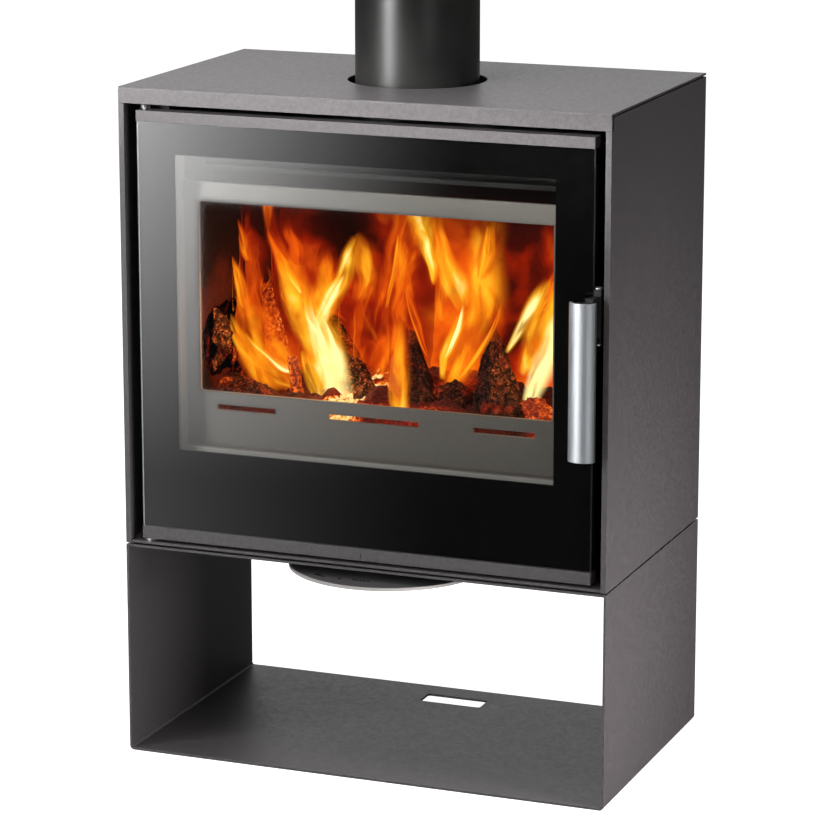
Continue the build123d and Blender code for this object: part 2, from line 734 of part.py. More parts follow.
def latch_bracket():
    """Two ears on the door edge, joined by a back plate, that carry the handle pin."""
    z0 = EAR_Z[0]
    z1 = EAR_Z[1] + EAR_T
    outline = [
        (FRAME_HALF_W, -176),
        (LATCH_X - 4.5, -176),
        (LATCH_X - 4.5, LATCH_Y - 5),
        (LATCH_X + 4.5, LATCH_Y - 5),
        (LATCH_X + 4.5, -165),
        (FRAME_HALF_W, -165),
    ]
    bracket = block(FRAME_HALF_W, FRAME_HALF_W + 2, -176, -165, z0, z1)
    for ear_z in EAR_Z:
        bracket += prism(outline, ear_z, ear_z + EAR_T)
    return bracket - rod(LATCH_X, LATCH_Y, 2.55, z0 - 1, z1 + 1)


def handle_pivot_pin():
    """Pin that the handle lever turns on."""
    z0 = EAR_Z[0]
    z1 = EAR_Z[1] + EAR_T
    pin = rod(LATCH_X, LATCH_Y, 2.5, z0, z1)
    return pin + rod(LATCH_X, LATCH_Y, 4, z1, z1 + 2) + rod(LATCH_X, LATCH_Y, 4, z0 - 2, z0)


HANDLE_SCREWS_Z = [594.0, 617.0]
HANDLE_SCREW_X = 285.5


def handle_lever():
    """Steel lever with the handle foot in front and the latch nose behind."""
    z0 = LEVER_Z0
    z1 = LEVER_Z1
    foot_z1 = BAR_Z1 - 1
    foot = block(280, 303.5, BAR_BACK, BAR_BACK + 3.5, z0, foot_z1)
    arm_outline = [
        (LATCH_X - 3.4, LATCH_Y),
        (LATCH_X + 3.4, LATCH_Y),
        (301, BAR_BACK + 3),
        (291, BAR_BACK + 3),
    ]
    arm = prism(arm_outline, z0, z1)
    hub = rod(LATCH_X, LATCH_Y, 4.8, z0, z1)
    tail = block(LATCH_X - 2.5, LATCH_X + 2.5, LATCH_Y, -154.5, z0 + 6, z1 - 6)
    nose = block(LATCH_X, LATCH_X + 5.3, -158.5, -154.5, 597, 618)
    lever = foot + arm + hub + tail + nose
    lever -= rod(LATCH_X, LATCH_Y, 2.55, z0 - 1, z1 + 1)
    for z in HANDLE_SCREWS_Z:
        lever -= rod_y(HANDLE_SCREW_X, z, 2.1, BAR_BACK - 1, BAR_BACK + 10)
    return lever


def bar_section(inset, back):
    """Cross-section of the handle: flat back, short sides and a bowed front."""
    x0 = BAR_X0 + inset
    x1 = BAR_X1 - inset
    side = BAR_SIDE + 0.4 * inset
    nose = BAR_NOSE + inset
    sides = Polyline((x0, side, 0), (x0, back, 0), (x1, back, 0), (x1, side, 0))
    bow = ThreePointArc((x1, side, 0), ((x0 + x1) / 2, nose, 0), (x0, side, 0))
    return make_face([sides, bow])


def handle_bar():
    """Bowed aluminium cover of the handle."""
    length = BAR_Z1 - BAR_Z0
    cover = extrude(bar_section(0, BAR_BACK), amount=length, dir=(0, 0, 1))
    hollow = extrude(bar_section(BAR_WALL, BAR_BACK + 1), amount=length + 2, dir=(0, 0, 1))
    return Pos(0, 0, BAR_Z0) * (cover - Pos(0, 0, -1) * hollow)


def handle_core():
    """Dark inner bar that fills the aluminium cover."""
    height = BAR_Z1 - BAR_Z0 - 1.2
    core = extrude(bar_section(BAR_WALL + 0.15, BAR_BACK), amount=height, dir=(0, 0, 1))
    core = Pos(0, 0, BAR_Z0 + 0.6) * core
    for z in HANDLE_SCREWS_Z:
        core -= rod_y(HANDLE_SCREW_X, z, 2.1, BAR_BACK - 6, BAR_BACK + 1)
    return core


def handle_screws():
    """Screws through the lever foot into the handle."""
    screws = []
    for z in HANDLE_SCREWS_Z:
        shank = rod_y(HANDLE_SCREW_X, z, 2, BAR_BACK - 5.5, BAR_BACK + 3.5)
        screws.append(shank + rod_y(HANDLE_SCREW_X, z, 3.5, BAR_BACK + 3.5, BAR_BACK + 6))
    return screws


KEEPER_X = 309.8
KEEPER_Y = -162.5


def latch_keeper():
    """Small bracket with a fixed pin on the casing side, which the latch nose holds on."""
    wall = HALF_W - SIDE_SHEET
    keeper = block(wall - 1.5, wall, -172, -148, 590, 625)
    for z in (590, 622):
        keeper += block(KEEPER_X - 3.3, wall, -168, -157, z, z + 3)
    return keeper + rod(KEEPER_X, KEEPER_Y, 1.2, 592, 623)


def keeper_roller():
    """Roller on the keeper pin."""
    return tube(KEEPER_X, KEEPER_Y, 2.1, 1.25, 593.3, 621.7)


# ---------------------------------------------------------------- write every piece
PIECES = {
    "base_shell": base_shell(),
    "base_top_plate": base_top_plate(),
    "joining_bolts": joining_bolts(),
    "joining_nuts": joining_nuts(),
    "spacer_washers": spacer_washers(),
    "body_floor_plate": body_floor_plate(),
    "right_side_panel": right_side_panel(),
    "left_side_panel": mirror(right_side_panel(), Plane.YZ),
    "rear_panel": rear_panel(),
    "rear_panel_screws": rear_panel_screws(),
    "top_plate": top_plate(),
    "firebox_rails": firebox_rails(),
    "firebox_shell": firebox_shell(),
    "firebox_front_flange": firebox_front_flange(),
    "firebox_recess_rim": firebox_recess_rim(),
    "firebox_front_plate": firebox_front_plate(),
    "air_wash_bar": air_wash_bar(),
    "wash_air_duct": wash_air_duct(),
    "wash_air_risers": wash_air_risers(),
    "hearth_plate": hearth_plate(),
    "grate": grate(),
    "hearth_bricks": hearth_bricks(),
    "right_lining": right_lining(),
    "left_lining": mirror(right_lining(), Plane.YZ),
    "rear_linings": rear_linings(),
    "lower_baffle": lower_baffle(),
    "upper_baffle_plate": upper_baffle_plate(),
    "ash_pan": ash_pan(),
    "ash_pan_runners": ash_pan_runners(),
    "flue_spigot": flue_spigot(),
    "flue_pipe": flue_pipe(),
    "air_disc": air_disc(),
    "air_disc_rim": air_disc_rim(),
    "air_gate_plate": air_gate_plate(),
    "air_inlet_collar": air_inlet_collar(),
    "air_riser": air_riser(),
    "air_disc_bolt": air_disc_bolt(),
    "air_disc_nut": air_disc_nut(),
    "door_top_bar": door_top_bar(),
    "door_bottom_bar": door_bottom_bar(),
    "door_glass": door_glass(),
    "glass_black_border": glass_black_border(),
    "glass_gasket": glass_gasket(),
    "door_frame": door_frame(),
    "seal_channel": seal_channel(),
    "door_seal_rope": door_seal_rope(),
    "hinge_bushes": hinge_bushes(),
    "upper_hinge_bracket": upper_hinge_bracket(),
    "upper_hinge_pin": upper_hinge_pin(),
    "lower_hinge_pin": lower_hinge_pin(),
    "hinge_thrust_washer": hinge_thrust_washer(),
    "door_closing_spring": door_closing_spring(),
    "latch_bracket": latch_bracket(),
    "handle_pivot_pin": handle_pivot_pin(),
    "handle_lever": handle_lever(),
    "handle_bar": handle_bar(),
    "handle_core": handle_core(),
    "handle_screws": handle_screws(),
    "latch_keeper": latch_keeper(),
    "keeper_roller": keeper_roller(),
}

for name, shape in PIECES.items():
    save(name, shape)
print(len(PIECES), "pieces written")
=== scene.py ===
import json
import math
import random

import bpy
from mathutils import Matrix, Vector, noise


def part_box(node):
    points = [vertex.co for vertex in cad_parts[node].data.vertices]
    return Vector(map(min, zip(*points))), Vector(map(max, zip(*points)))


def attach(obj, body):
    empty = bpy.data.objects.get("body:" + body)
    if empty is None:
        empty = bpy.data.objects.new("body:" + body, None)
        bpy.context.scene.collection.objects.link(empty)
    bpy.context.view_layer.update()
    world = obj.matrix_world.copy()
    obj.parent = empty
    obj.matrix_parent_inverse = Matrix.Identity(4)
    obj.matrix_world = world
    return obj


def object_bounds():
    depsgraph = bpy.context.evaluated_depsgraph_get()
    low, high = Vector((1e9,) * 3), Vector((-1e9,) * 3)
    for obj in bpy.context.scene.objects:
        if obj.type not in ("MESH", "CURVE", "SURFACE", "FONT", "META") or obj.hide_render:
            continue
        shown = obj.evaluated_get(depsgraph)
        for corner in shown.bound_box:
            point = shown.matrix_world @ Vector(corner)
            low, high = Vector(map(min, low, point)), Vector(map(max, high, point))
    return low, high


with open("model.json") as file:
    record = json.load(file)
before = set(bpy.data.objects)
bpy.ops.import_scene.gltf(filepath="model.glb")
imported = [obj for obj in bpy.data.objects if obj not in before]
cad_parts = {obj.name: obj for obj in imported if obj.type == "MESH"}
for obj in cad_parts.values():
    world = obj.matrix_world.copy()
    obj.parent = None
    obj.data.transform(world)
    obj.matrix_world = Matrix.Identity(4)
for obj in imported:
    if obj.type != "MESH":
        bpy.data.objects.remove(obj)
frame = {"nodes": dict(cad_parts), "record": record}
CAD_LOW, CAD_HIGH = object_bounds()
scene = bpy.context.scene

# ---------------- camera
CAMERA_AZIMUTH = math.radians(21.38)
CAMERA_ELEVATION = math.radians(12.752)
CAMERA_PLACE = Vector((1.5619, -3.9998, 1.4494))
CAMERA_LENS = 152.75
CAMERA_SHIFT = -0.05


def away(azimuth, elevation):
    """The unit vector from the object towards a viewer at this azimuth and elevation."""
    flat = math.cos(elevation)
    return Vector((math.sin(azimuth) * flat, -math.cos(azimuth) * flat, math.sin(elevation)))


def make_camera():
    data = bpy.data.cameras.new("camera")
    data.lens = CAMERA_LENS
    data.shift_y = CAMERA_SHIFT
    camera = bpy.data.objects.new("camera", data)
    camera.location = CAMERA_PLACE
    camera.rotation_mode = "QUATERNION"
    camera.rotation_quaternion = (-away(CAMERA_AZIMUTH, CAMERA_ELEVATION)).to_track_quat("-Z", "Y")
    scene.collection.objects.link(camera)
    scene.camera = camera


make_camera()
scene.view_settings.view_transform = "Standard"
scene.cycles.use_denoising = True
scene.cycles.transparent_max_bounces = 40
scene.cycles.max_bounces = 8


# ---------------- mesh helpers
def mesh_object(name, vertices, faces, smooth=True):
    mesh = bpy.data.meshes.new(name)
    mesh.from_pydata([tuple(v) for v in vertices], [], faces)
    mesh.update()
    if smooth:
        mesh.polygons.foreach_set("use_smooth", [True] * len(mesh.polygons))
    piece = bpy.data.objects.new(name, mesh)
    scene.collection.objects.link(piece)
    return piece


def grid_faces(rows, columns, closed=False):
    """Quads over rows of vertices; closed joins the last column to the first."""
    faces = []
    for row in range(rows - 1):
        for column in range(columns if closed else columns - 1):
            after = (column + 1) % columns
            a = row * columns + column
            b = row * columns + after
            faces.append((a, b, b + columns, a + columns))
    return faces


def add_number(piece, name, values):
    layer = piece.data.attributes.new(name, "FLOAT", "POINT")
    layer.data.foreach_set("value", values)


def tumble(place, seed):
    """A smooth random vector that depends on a place."""
    return noise.noise_vector(place + Vector((seed * 7.3, seed * 3.1, seed * 5.7)))


# ---------------- shader helpers
class Shader:
    """A material's node tree, with short calls for the nodes that this scene uses."""

    def __init__(self, name):
        self.material = bpy.data.materials.new(name)
        self.material.use_nodes = True
        self.tree = self.material.node_tree
        self.tree.nodes.clear()
        self.output = self.node("ShaderNodeOutputMaterial")
        self.place = self.node("ShaderNodeTexCoord").outputs["Object"]

    def node(self, kind, **settings):
        made = self.tree.nodes.new(kind)
        for name, value in settings.items():
            setattr(made, name, value)
        return made

    def put(self, socket, value):
        """Links a socket to another one, or sets its value."""
        if isinstance(value, bpy.types.NodeSocket):
            self.tree.links.new(value, socket)
        else:
            socket.default_value = value

    def stretch(self, x, y, z, vector=None):
        made = self.node("ShaderNodeMapping")
        self.put(made.inputs["Vector"], vector or self.place)
        made.inputs["Scale"].default_value = (x, y, z)
        return made.outputs["Vector"]

    def noise(self, scale, detail=3.0, roughness=0.55, distortion=0.0, vector=None):
        made = self.node("ShaderNodeTexNoise")
        self.put(made.inputs["Vector"], vector or self.place)
        made.inputs["Scale"].default_value = scale
        made.inputs["Detail"].default_value = detail
        made.inputs["Roughness"].default_value = roughness
        made.inputs["Distortion"].default_value = distortion
        return made.outputs["Fac"]

    def cells(self, scale, vector=None, feature="DISTANCE_TO_EDGE"):
        made = self.node("ShaderNodeTexVoronoi", feature=feature)
        self.put(made.inputs["Vector"], vector or self.place)
        made.inputs["Scale"].default_value = scale
        return made.outputs["Distance"]

    def math(self, operation, a, b=0.0, clamp=False):
        made = self.node("ShaderNodeMath", operation=operation, use_clamp=clamp)
        self.put(made.inputs[0], a)
        self.put(made.inputs[1], b)
        return made.outputs[0]

    def times(self, a, b, clamp=False):
        return self.math("MULTIPLY", a, b, clamp)

    def plus(self, a, b, clamp=False):
        return self.math("ADD", a, b, clamp)

    def axes(self):
        """The X, Y and Z of the object coordinates."""
        made = self.node("ShaderNodeSeparateXYZ")
        self.put(made.inputs["Vector"], self.place)
        return made.outputs

    def spread(self, value, low, high, to_low=0.0, to_high=1.0, smooth=False):
        made = self.node("ShaderNodeMapRange", clamp=True)
        if smooth:
            made.interpolation_type = "SMOOTHSTEP"
        self.put(made.inputs["Value"], value)
        self.put(made.inputs["From Min"], low)
        self.put(made.inputs["From Max"], high)
        self.put(made.inputs["To Min"], to_low)
        self.put(made.inputs["To Max"], to_high)
        return made.outputs["Result"]

    def ramp(self, value, stops):
        made = self.node("ShaderNodeValToRGB")
        self.put(made.inputs["Fac"], value)
        points = made.color_ramp.elements
        points[0].position = stops[0][0]
        points[0].color = (*stops[0][1], 1.0)
        points[1].position = stops[-1][0]
        points[1].color = (*stops[-1][1], 1.0)
        for spot, colour in stops[1:-1]:
            points.new(spot).color = (*colour, 1.0)
        return made.outputs["Color"]

    def mix(self, factor, a, b):
        made = self.node("ShaderNodeMix", data_type="RGBA")
        self.put(made.inputs["Factor"], factor)
        for socket, value in ((made.inputs[6], a), (made.inputs[7], b)):
            self.put(socket, (*value, 1.0) if isinstance(value, tuple) else value)
        return made.outputs[2]

    def bump(self, height, distance, strength=1.0, normal=None):
        made = self.node("ShaderNodeBump")
        self.put(made.inputs["Height"], height)
        made.inputs["Distance"].default_value = distance
        made.inputs["Strength"].default_value = strength
        if normal:
            self.put(made.inputs["Normal"], normal)
        return made.outputs["Normal"]

    def rounded_edges(self, radius):
        made = self.node("ShaderNodeBevel", samples=4)
        made.inputs["Radius"].default_value = radius
        return made.outputs["Normal"]

    def edges(self, radius, strength):
        """A mask that is 1 along sharp edges, where a painted highlight makes them paler."""
        bevel = self.node("ShaderNodeBevel", samples=6)
        bevel.inputs["Radius"].default_value = radius
        face = self.node("ShaderNodeNewGeometry")
        same = self.node("ShaderNodeVectorMath", operation="DOT_PRODUCT")
        self.put(same.inputs[0], bevel.outputs["Normal"])
        self.put(same.inputs[1], face.outputs["Normal"])
        return self.spread(same.outputs["Value"], 0.72, 0.97, strength, 0.0)

    def attribute(self, name):
        return self.node("ShaderNodeAttribute", attribute_name=name).outputs["Fac"]

    def blend(self, factor, a, b):
        """Puts a mix of two shaders on the output."""
        made = self.node("ShaderNodeMixShader")
        for socket, value in zip(made.inputs, (factor, a, b)):
            self.put(socket, value)
        self.put(self.output.inputs["Surface"], made.outputs["Shader"])
        return self.material

    def surface(self, **sockets):
        """A Principled shader on the output; underscores in the names stand for spaces."""
        made = self.node("ShaderNodeBsdfPrincipled")
        for name, value in sockets.items():
            socket = made.inputs[name.replace("_", " ")]
            if isinstance(value, tuple) and len(value) == 3:
                value = (*value, 1.0)
            self.put(socket, value)
        self.put(self.output.inputs["Surface"], made.outputs["BSDF"])
        return self.material


def tint(colour, amount):
    return tuple(c * amount for c in colour)


# ---------------- materials of the CAD nodes
PAINT_RELIEF = 0.00012
# Colour of the painted highlight along sharp edges.
PAINTED_EDGE_HIGHLIGHT = (0.62, 0.60, 0.59)
# Painted shadow and painted highlight on the ledge of the recess rim.
LEDGE_PAINTED_SHADOW = (0.01, 0.009, 0.008)
LEDGE_PAINTED_HIGHLIGHT = (0.42, 0.41, 0.39)
GLASS_IOR = 1.5
BACK_FACE_MIRROR = 0.043
GLOW_FADE_Z = (0.60, 0.70)


def powder_paint(name, colour, roughness, grain=640.0, speckle=0.30, edge_highlight=0.16, ledge=False):
    """Textured stove paint: fine grain, faint cloudy patches, and a painted highlight that makes sharp edges
    paler.

    With ledge, the level ledge of the recess rim gets a painted shadow at its back and a painted highlight
    at its front.
    """
    s = Shader(name)
    fine = s.noise(grain, detail=2.0)
    coarse = s.noise(grain * 0.28, detail=2.0)
    clouds = s.noise(5.0, detail=2.0)
    specks = s.plus(s.times(fine, 0.6), s.times(coarse, 0.4))
    paint = s.mix(s.spread(specks, 0.35, 0.65), tint(colour, 1 - speckle), tint(colour, 1 + speckle))
    paint = s.mix(s.spread(clouds, 0.3, 0.7, 0.0, 0.10), paint, tint(colour, 0.8))
    # Painted highlight: sharp edges are mixed towards a pale colour, as if they caught the light.
    paint = s.mix(s.edges(0.0009, edge_highlight), paint, PAINTED_EDGE_HIGHLIGHT)
    if ledge:
        low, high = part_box("firebox_recess_rim")
        parts = s.axes()
        bottom = s.spread(parts["Z"], low.z + 0.0060, low.z + 0.0075, 1.0, 0.0)
        bright = s.spread(parts["Y"], low.y + 0.0030, low.y + 0.0040, 1.0, 0.0)
        dark = s.spread(parts["Y"], high.y - 0.012, high.y - 0.009)
        # Painted shadow at the back of the ledge, painted highlight along its front edge.
        paint = s.mix(s.times(bottom, dark), paint, LEDGE_PAINTED_SHADOW)
        paint = s.mix(s.times(bottom, bright), paint, LEDGE_PAINTED_HIGHLIGHT)
    gloss = s.spread(coarse, 0.3, 0.7, roughness - 0.05, roughness + 0.07)
    normal = s.bump(specks, PAINT_RELIEF, 0.6, s.rounded_edges(0.0007))
    return s.surface(Base_Color=paint, Roughness=gloss, Specular_IOR_Level=0.5, Normal=normal)


def black_heat_paint(name, colour, roughness):
    """Thin high-temperature paint on sheet steel, a little uneven and sooty."""
    s = Shader(name)
    soot = s.noise(9.0, detail=5.0, roughness=0.65)
    grain = s.noise(900.0, detail=2.0)
    paint = s.mix(s.spread(soot, 0.35, 0.7), colour, tint(colour, 0.55))
    gloss = s.spread(soot, 0.3, 0.7, roughness - 0.06, roughness + 0.1)
    normal = s.bump(grain, 0.00004, 0.5, s.rounded_edges(0.0006))
    return s.surface(Base_Color=paint, Roughness=gloss, Normal=normal)


def flue_paint():
    """Satin black flue paint with a faint orange-peel and dust film."""
    s = Shader("flue_paint")
    peel = s.noise(420.0, detail=2.0)
    dust = s.noise(14.0, detail=5.0, roughness=0.6)
    paint = s.mix(s.spread(dust, 0.35, 0.75), (0.010, 0.010, 0.0095), (0.019, 0.019, 0.018))
    gloss = s.spread(dust, 0.3, 0.7, 0.31, 0.38)
    normal = s.bump(peel, 0.00008, 0.6)
    return s.surface(Base_Color=paint, Roughness=gloss, Specular_IOR_Level=0.8, Normal=normal)


def zinc_steel():
    """Bright zinc-plated steel with dull spangles."""
    s = Shader("zinc_steel")
    spangle = s.cells(240.0, feature="F1")
    stain = s.noise(30.0, detail=4.0)
    metal = s.mix(s.spread(spangle, 0.0, 0.8), (0.42, 0.42, 0.43), (0.60, 0.60, 0.60))
    metal = s.mix(s.spread(stain, 0.45, 0.7, 0.0, 0.5), metal, (0.25, 0.24, 0.22))
    gloss = s.spread(stain, 0.3, 0.7, 0.28, 0.45)
    return s.surface(Base_Color=metal, Metallic=0.85, Roughness=gloss, Normal=s.rounded_edges(0.0004))


def cast_iron():
    """Sand-cast iron, dark and pitted, with ash in its pores."""
    s = Shader("cast_iron")
    sand = s.noise(420.0, detail=5.0, roughness=0.7)
    ash = s.noise(26.0, detail=5.0, roughness=0.7)
    iron = s.mix(s.spread(ash, 0.45, 0.75), (0.025, 0.023, 0.022), (0.16, 0.14, 0.12))
    normal = s.bump(sand, 0.0003, 0.8, s.rounded_edges(0.001))
    return s.surface(Base_Color=iron, Roughness=0.75, Normal=normal)


def vermiculite():
    """Pressed mineral board, dark with soot, with a faint painted red glow of firelight that ends higher up.
    """
    s = Shader("vermiculite")
    flakes = s.cells(260.0, feature="F1")
    pits = s.noise(120.0, detail=6.0, roughness=0.7)
    soot = s.noise(7.0, detail=5.0, roughness=0.6)
    board = s.ramp(
        flakes,
        [(0.0, (0.045, 0.016, 0.007)), (0.5, (0.024, 0.009, 0.004)), (1.0, (0.010, 0.004, 0.002))],
    )
    board = s.mix(s.spread(pits, 0.4, 0.7, 0.0, 0.6), board, (0.012, 0.004, 0.002))
    board = s.mix(s.spread(soot, 0.28, 0.55, 0.7, 0.98), board, (0.005, 0.002, 0.002))
    height = s.plus(pits, s.times(flakes, 0.4))
    # Painted light: a faint red glow in patches stands in for firelight on the boards, and fades out higher
    # up.
    hot = s.times(s.spread(soot, 0.42, 0.62), s.spread(pits, 0.3, 0.7, 0.5, 1.0))
    parts = s.axes()
    hot = s.times(hot, s.spread(parts["Z"], *GLOW_FADE_Z, 1.0, 0.0))
    red = s.ramp(hot, [(0.0, (0.0, 0.0, 0.0)), (0.3, (0.006, 0.0005, 0.0002)), (1.0, (0.13, 0.008, 0.0015))])
    return s.surface(
        Base_Color=board,
        Roughness=0.9,
        Specular_IOR_Level=0.15,
        Normal=s.bump(height, 0.0008, 0.7),
        Emission_Color=red,
        Emission_Strength=1.0,
    )


def ceramic_glass():
    """Clear fire glass: it lets light straight through and mirrors a little at its faces."""
    s = Shader("ceramic_glass")
    clear = s.node("ShaderNodeBsdfTransparent")
    clear.inputs["Color"].default_value = (0.93, 0.93, 0.92, 1.0)
    mirror = s.node("ShaderNodeBsdfGlossy")
    haze = s.noise(3.0, detail=4.0)
    s.put(mirror.inputs["Roughness"], s.spread(haze, 0.3, 0.7, 0.015, 0.03))
    mirror.inputs["Color"].default_value = (1.0, 1.0, 1.0, 1.0)
    share = s.node("ShaderNodeFresnel")
    share.inputs["IOR"].default_value = GLASS_IOR
    side = s.node("ShaderNodeNewGeometry")
    front = s.times(share.outputs["Fac"], s.math("SUBTRACT", 1.0, side.outputs["Backfacing"]))
    back = s.times(side.outputs["Backfacing"], BACK_FACE_MIRROR)
    return s.blend(s.plus(front, back), clear.outputs["BSDF"], mirror.outputs["BSDF"])


def black_print():
    """Fired black enamel on the back of the pane, with faint cloudy changes in density."""
    s = Shader("black_print")
    cloud = s.noise(60.0, detail=4.0)
    ink = s.mix(s.spread(cloud, 0.3, 0.7), (0.0012, 0.0012, 0.0012), (0.0026, 0.0026, 0.0026))
    return s.surface(Base_Color=ink, Roughness=0.8, Specular_IOR_Level=0.05)


def glass_fibre():
    """Braided glass-fibre rope and tape, pale with grey strands."""
    s = Shader("glass_fibre")
    waves = s.node("ShaderNodeTexWave", wave_type="BANDS", bands_direction="DIAGONAL")
    s.put(waves.inputs["Vector"], s.place)
    waves.inputs["Scale"].default_value = 170.0
    waves.inputs["Distortion"].default_value = 2.0
    strands = waves.outputs["Fac"]
    dirt = s.noise(22.0, detail=5.0)
    yarn = s.mix(strands, (0.24, 0.23, 0.21), (0.52, 0.50, 0.46))
    yarn = s.mix(s.spread(dirt, 0.42, 0.7, 0.0, 0.8), yarn, (0.07, 0.06, 0.055))
    return s.surface(Base_Color=yarn, Roughness=0.95, Normal=s.bump(strands, 0.0006, 0.9))


def brushed_metal(name, colour, roughness, edge_highlight=0.0):
    """Satin metal with fine upright brushing lines."""
    s = Shader(name)
    lines = s.noise(1.0, detail=4.0, roughness=0.7, vector=s.stretch(900.0, 900.0, 14.0))
    patches = s.noise(18.0, detail=3.0)
    metal = s.mix(lines, tint(colour, 0.92), tint(colour, 1.04))
    gloss = s.spread(lines, 0.2, 0.8, roughness - 0.05, roughness + 0.06)
    gloss = s.plus(gloss, s.spread(patches, 0.3, 0.7, -0.01, 0.02))
    # Painted highlight: when this is set, sharp edges are mixed towards white.
    if edge_highlight:
        metal = s.mix(s.edges(0.0014, edge_highlight), metal, (1.0, 1.0, 1.0))
    normal = s.bump(lines, 0.00002, 0.5, s.rounded_edges(0.0005))
    return s.surface(Base_Color=metal, Metallic=1.0, Roughness=gloss, Normal=normal)


def moulded_black(name):
    """Dull black filler with a fine moulded grain."""
    s = Shader(name)
    grain = s.noise(1300.0, detail=2.0)
    shade = s.mix(grain, (0.012, 0.012, 0.012), (0.022, 0.022, 0.022))
    return s.surface(Base_Color=shade, Roughness=0.55, Normal=s.bump(grain, 0.00005, 0.6))


ANTHRACITE = (0.066, 0.0605, 0.0630)
WARM_GREY = (0.126, 0.116, 0.105)
DISC_GREY = (0.075, 0.072, 0.075)
RIM_GREY = (0.44, 0.42, 0.41)

MATERIAL_OF_SLOT = {
    "casing_paint": powder_paint("casing_paint", ANTHRACITE, roughness=0.42),
    "door_bar_paint": powder_paint("door_bar_paint", ANTHRACITE, roughness=0.40),
    "firebox_paint": powder_paint(
        "firebox_paint", WARM_GREY, roughness=0.46, grain=1100.0, speckle=0.14, edge_highlight=0.5, ledge=True
    ),
    "bar_paint": powder_paint(
        "bar_paint", tint(WARM_GREY, 0.95), roughness=0.40, grain=1100.0, speckle=0.10, edge_highlight=0.35
    ),
    "dark_steel": black_heat_paint("dark_steel", (0.0055, 0.0053, 0.0052), roughness=0.6),
    "flue_paint": flue_paint(),
    "zinc_steel": zinc_steel(),
    "cast_iron": cast_iron(),
    "vermiculite": vermiculite(),
    "disc_paint": powder_paint("disc_paint", DISC_GREY, roughness=0.45, grain=2200.0, speckle=0.06),
    "bright_rim": powder_paint("bright_rim", RIM_GREY, roughness=0.36, grain=1500.0, speckle=0.06),
    "ceramic_glass": ceramic_glass(),
    "black_print": black_print(),
    "glass_fibre": glass_fibre(),
    "bush_brass": brushed_metal("bush_brass", (0.70, 0.52, 0.24), 0.35),
    "satin_aluminium": brushed_metal("satin_aluminium", (0.56, 0.59, 0.62), 0.46, edge_highlight=1.0),
    "handle_core": moulded_black("handle_core"),
}


def dress_cad_nodes():
    for part in frame["record"]["subparts"]:
        node = frame["nodes"][part["node"]]
        material = MATERIAL_OF_SLOT[part["material_slot"]]
        if not node.material_slots:
            node.data.materials.append(material)
        for place in node.material_slots:
            place.material = material


dress_cad_nodes()

# ---------------- the mouth of the fire
PLATE_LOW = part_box("firebox_front_plate")[0]
LINING_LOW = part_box("left_lining")[0]
BAFFLE_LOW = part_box("lower_baffle")[0]
HEARTH_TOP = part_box("hearth_bricks")[1].z
REAR_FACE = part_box("rear_linings")[0].y
BAR_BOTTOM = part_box("air_wash_bar")[0].z
LINING_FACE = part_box("right_lining")[0].x
MOUTH_INSET = 0.0015
MOUTH_HALF = LINING_FACE - MOUTH_INSET
SLOTTED_PLATE_HEIGHT = 0.0873
MOUTH_LOW = PLATE_LOW.z + SLOTTED_PLATE_HEIGHT
MOUTH_HIGH = BAR_BOTTOM
MOUTH_Y = PLATE_LOW.y
CLEARANCE = 0.001
HEARTH_CLEARANCE = 0.0005
SIDE_SLOPE = math.tan(CAMERA_AZIMUTH)
DOWN_SLOPE = math.tan(CAMERA_ELEVATION) / math.cos(CAMERA_AZIMUTH)


def seen_at(across, up, depth):
    """The place at a depth behind the mouth that shows at this share of its width and height."""
    x = (2 * across - 1) * MOUTH_HALF - depth * SIDE_SLOPE
    z = MOUTH_LOW + up * (MOUTH_HIGH - MOUTH_LOW) - depth * DOWN_SLOPE
    return Vector((x, MOUTH_Y + depth, z))


# ---------------- logs and embers
FIRE_COLOURS = [
    (0.0, (0.0, 0.0, 0.0)),
    (0.3, (0.22, 0.010, 0.002)),
    (0.6, (0.90, 0.13, 0.010)),
    (0.8, (1.0, 0.33, 0.02)),
    (1.0, (1.0, 0.80, 0.30)),
]


def warped(s, scale, amount):
    """Object coordinates pushed about by noise, so that patterns lose their regularity."""
    wobble = s.node("ShaderNodeTexNoise")
    s.put(wobble.inputs["Vector"], s.place)
    wobble.inputs["Scale"].default_value = scale
    wobble.inputs["Detail"].default_value = 4.0
    bend = s.node("ShaderNodeVectorMath", operation="SCALE")
    s.put(bend.inputs[0], wobble.outputs["Color"])
    bend.inputs["Scale"].default_value = amount
    moved = s.node("ShaderNodeVectorMath", operation="ADD")
    s.put(moved.inputs[0], s.place)
    s.put(moved.inputs[1], bend.outputs["Vector"])
    return moved.outputs["Vector"]


def bark_wood(name, light, dark, plate=150.0, glow=0.5):
    """Thick burning bark: wrinkled plates with black creases, glowing in patches."""
    s = Shader(name)
    where = warped(s, 60.0, 0.022)
    folds = s.noise(62.0, detail=7.0, roughness=0.72, vector=where)
    crease = s.spread(s.math("ABSOLUTE", s.math("SUBTRACT", folds, 0.5)), 0.004, 0.055)
    chips = s.spread(s.cells(plate, vector=where), 0.01, 0.16, 0.25, 1.0)
    fine = s.noise(320.0, detail=5.0, roughness=0.75)
    patches = s.noise(13.0, detail=3.0)
    face = s.times(s.times(crease, chips), s.spread(fine, 0.32, 0.66, 0.25, 1.0))
    bark = s.mix(face, dark, light)
    ember = s.spread(s.noise(38.0, detail=5.0, roughness=0.7), 0.53, 0.64)
    heat = s.times(ember, s.spread(patches, 0.42, 0.58))
    heat = s.times(heat, s.spread(fine, 0.3, 0.7, 0.2, 1.0))
    height = s.plus(s.times(chips, 0.6), s.times(fine, 0.35))
    height = s.plus(crease, height)
    return s.surface(
        Base_Color=bark,
        Roughness=0.85,
        Specular_IOR_Level=0.2,
        Normal=s.bump(height, 0.005, 1.0),
        Emission_Color=s.ramp(s.times(heat, glow), FIRE_COLOURS),
        Emission_Strength=1.0,
    )


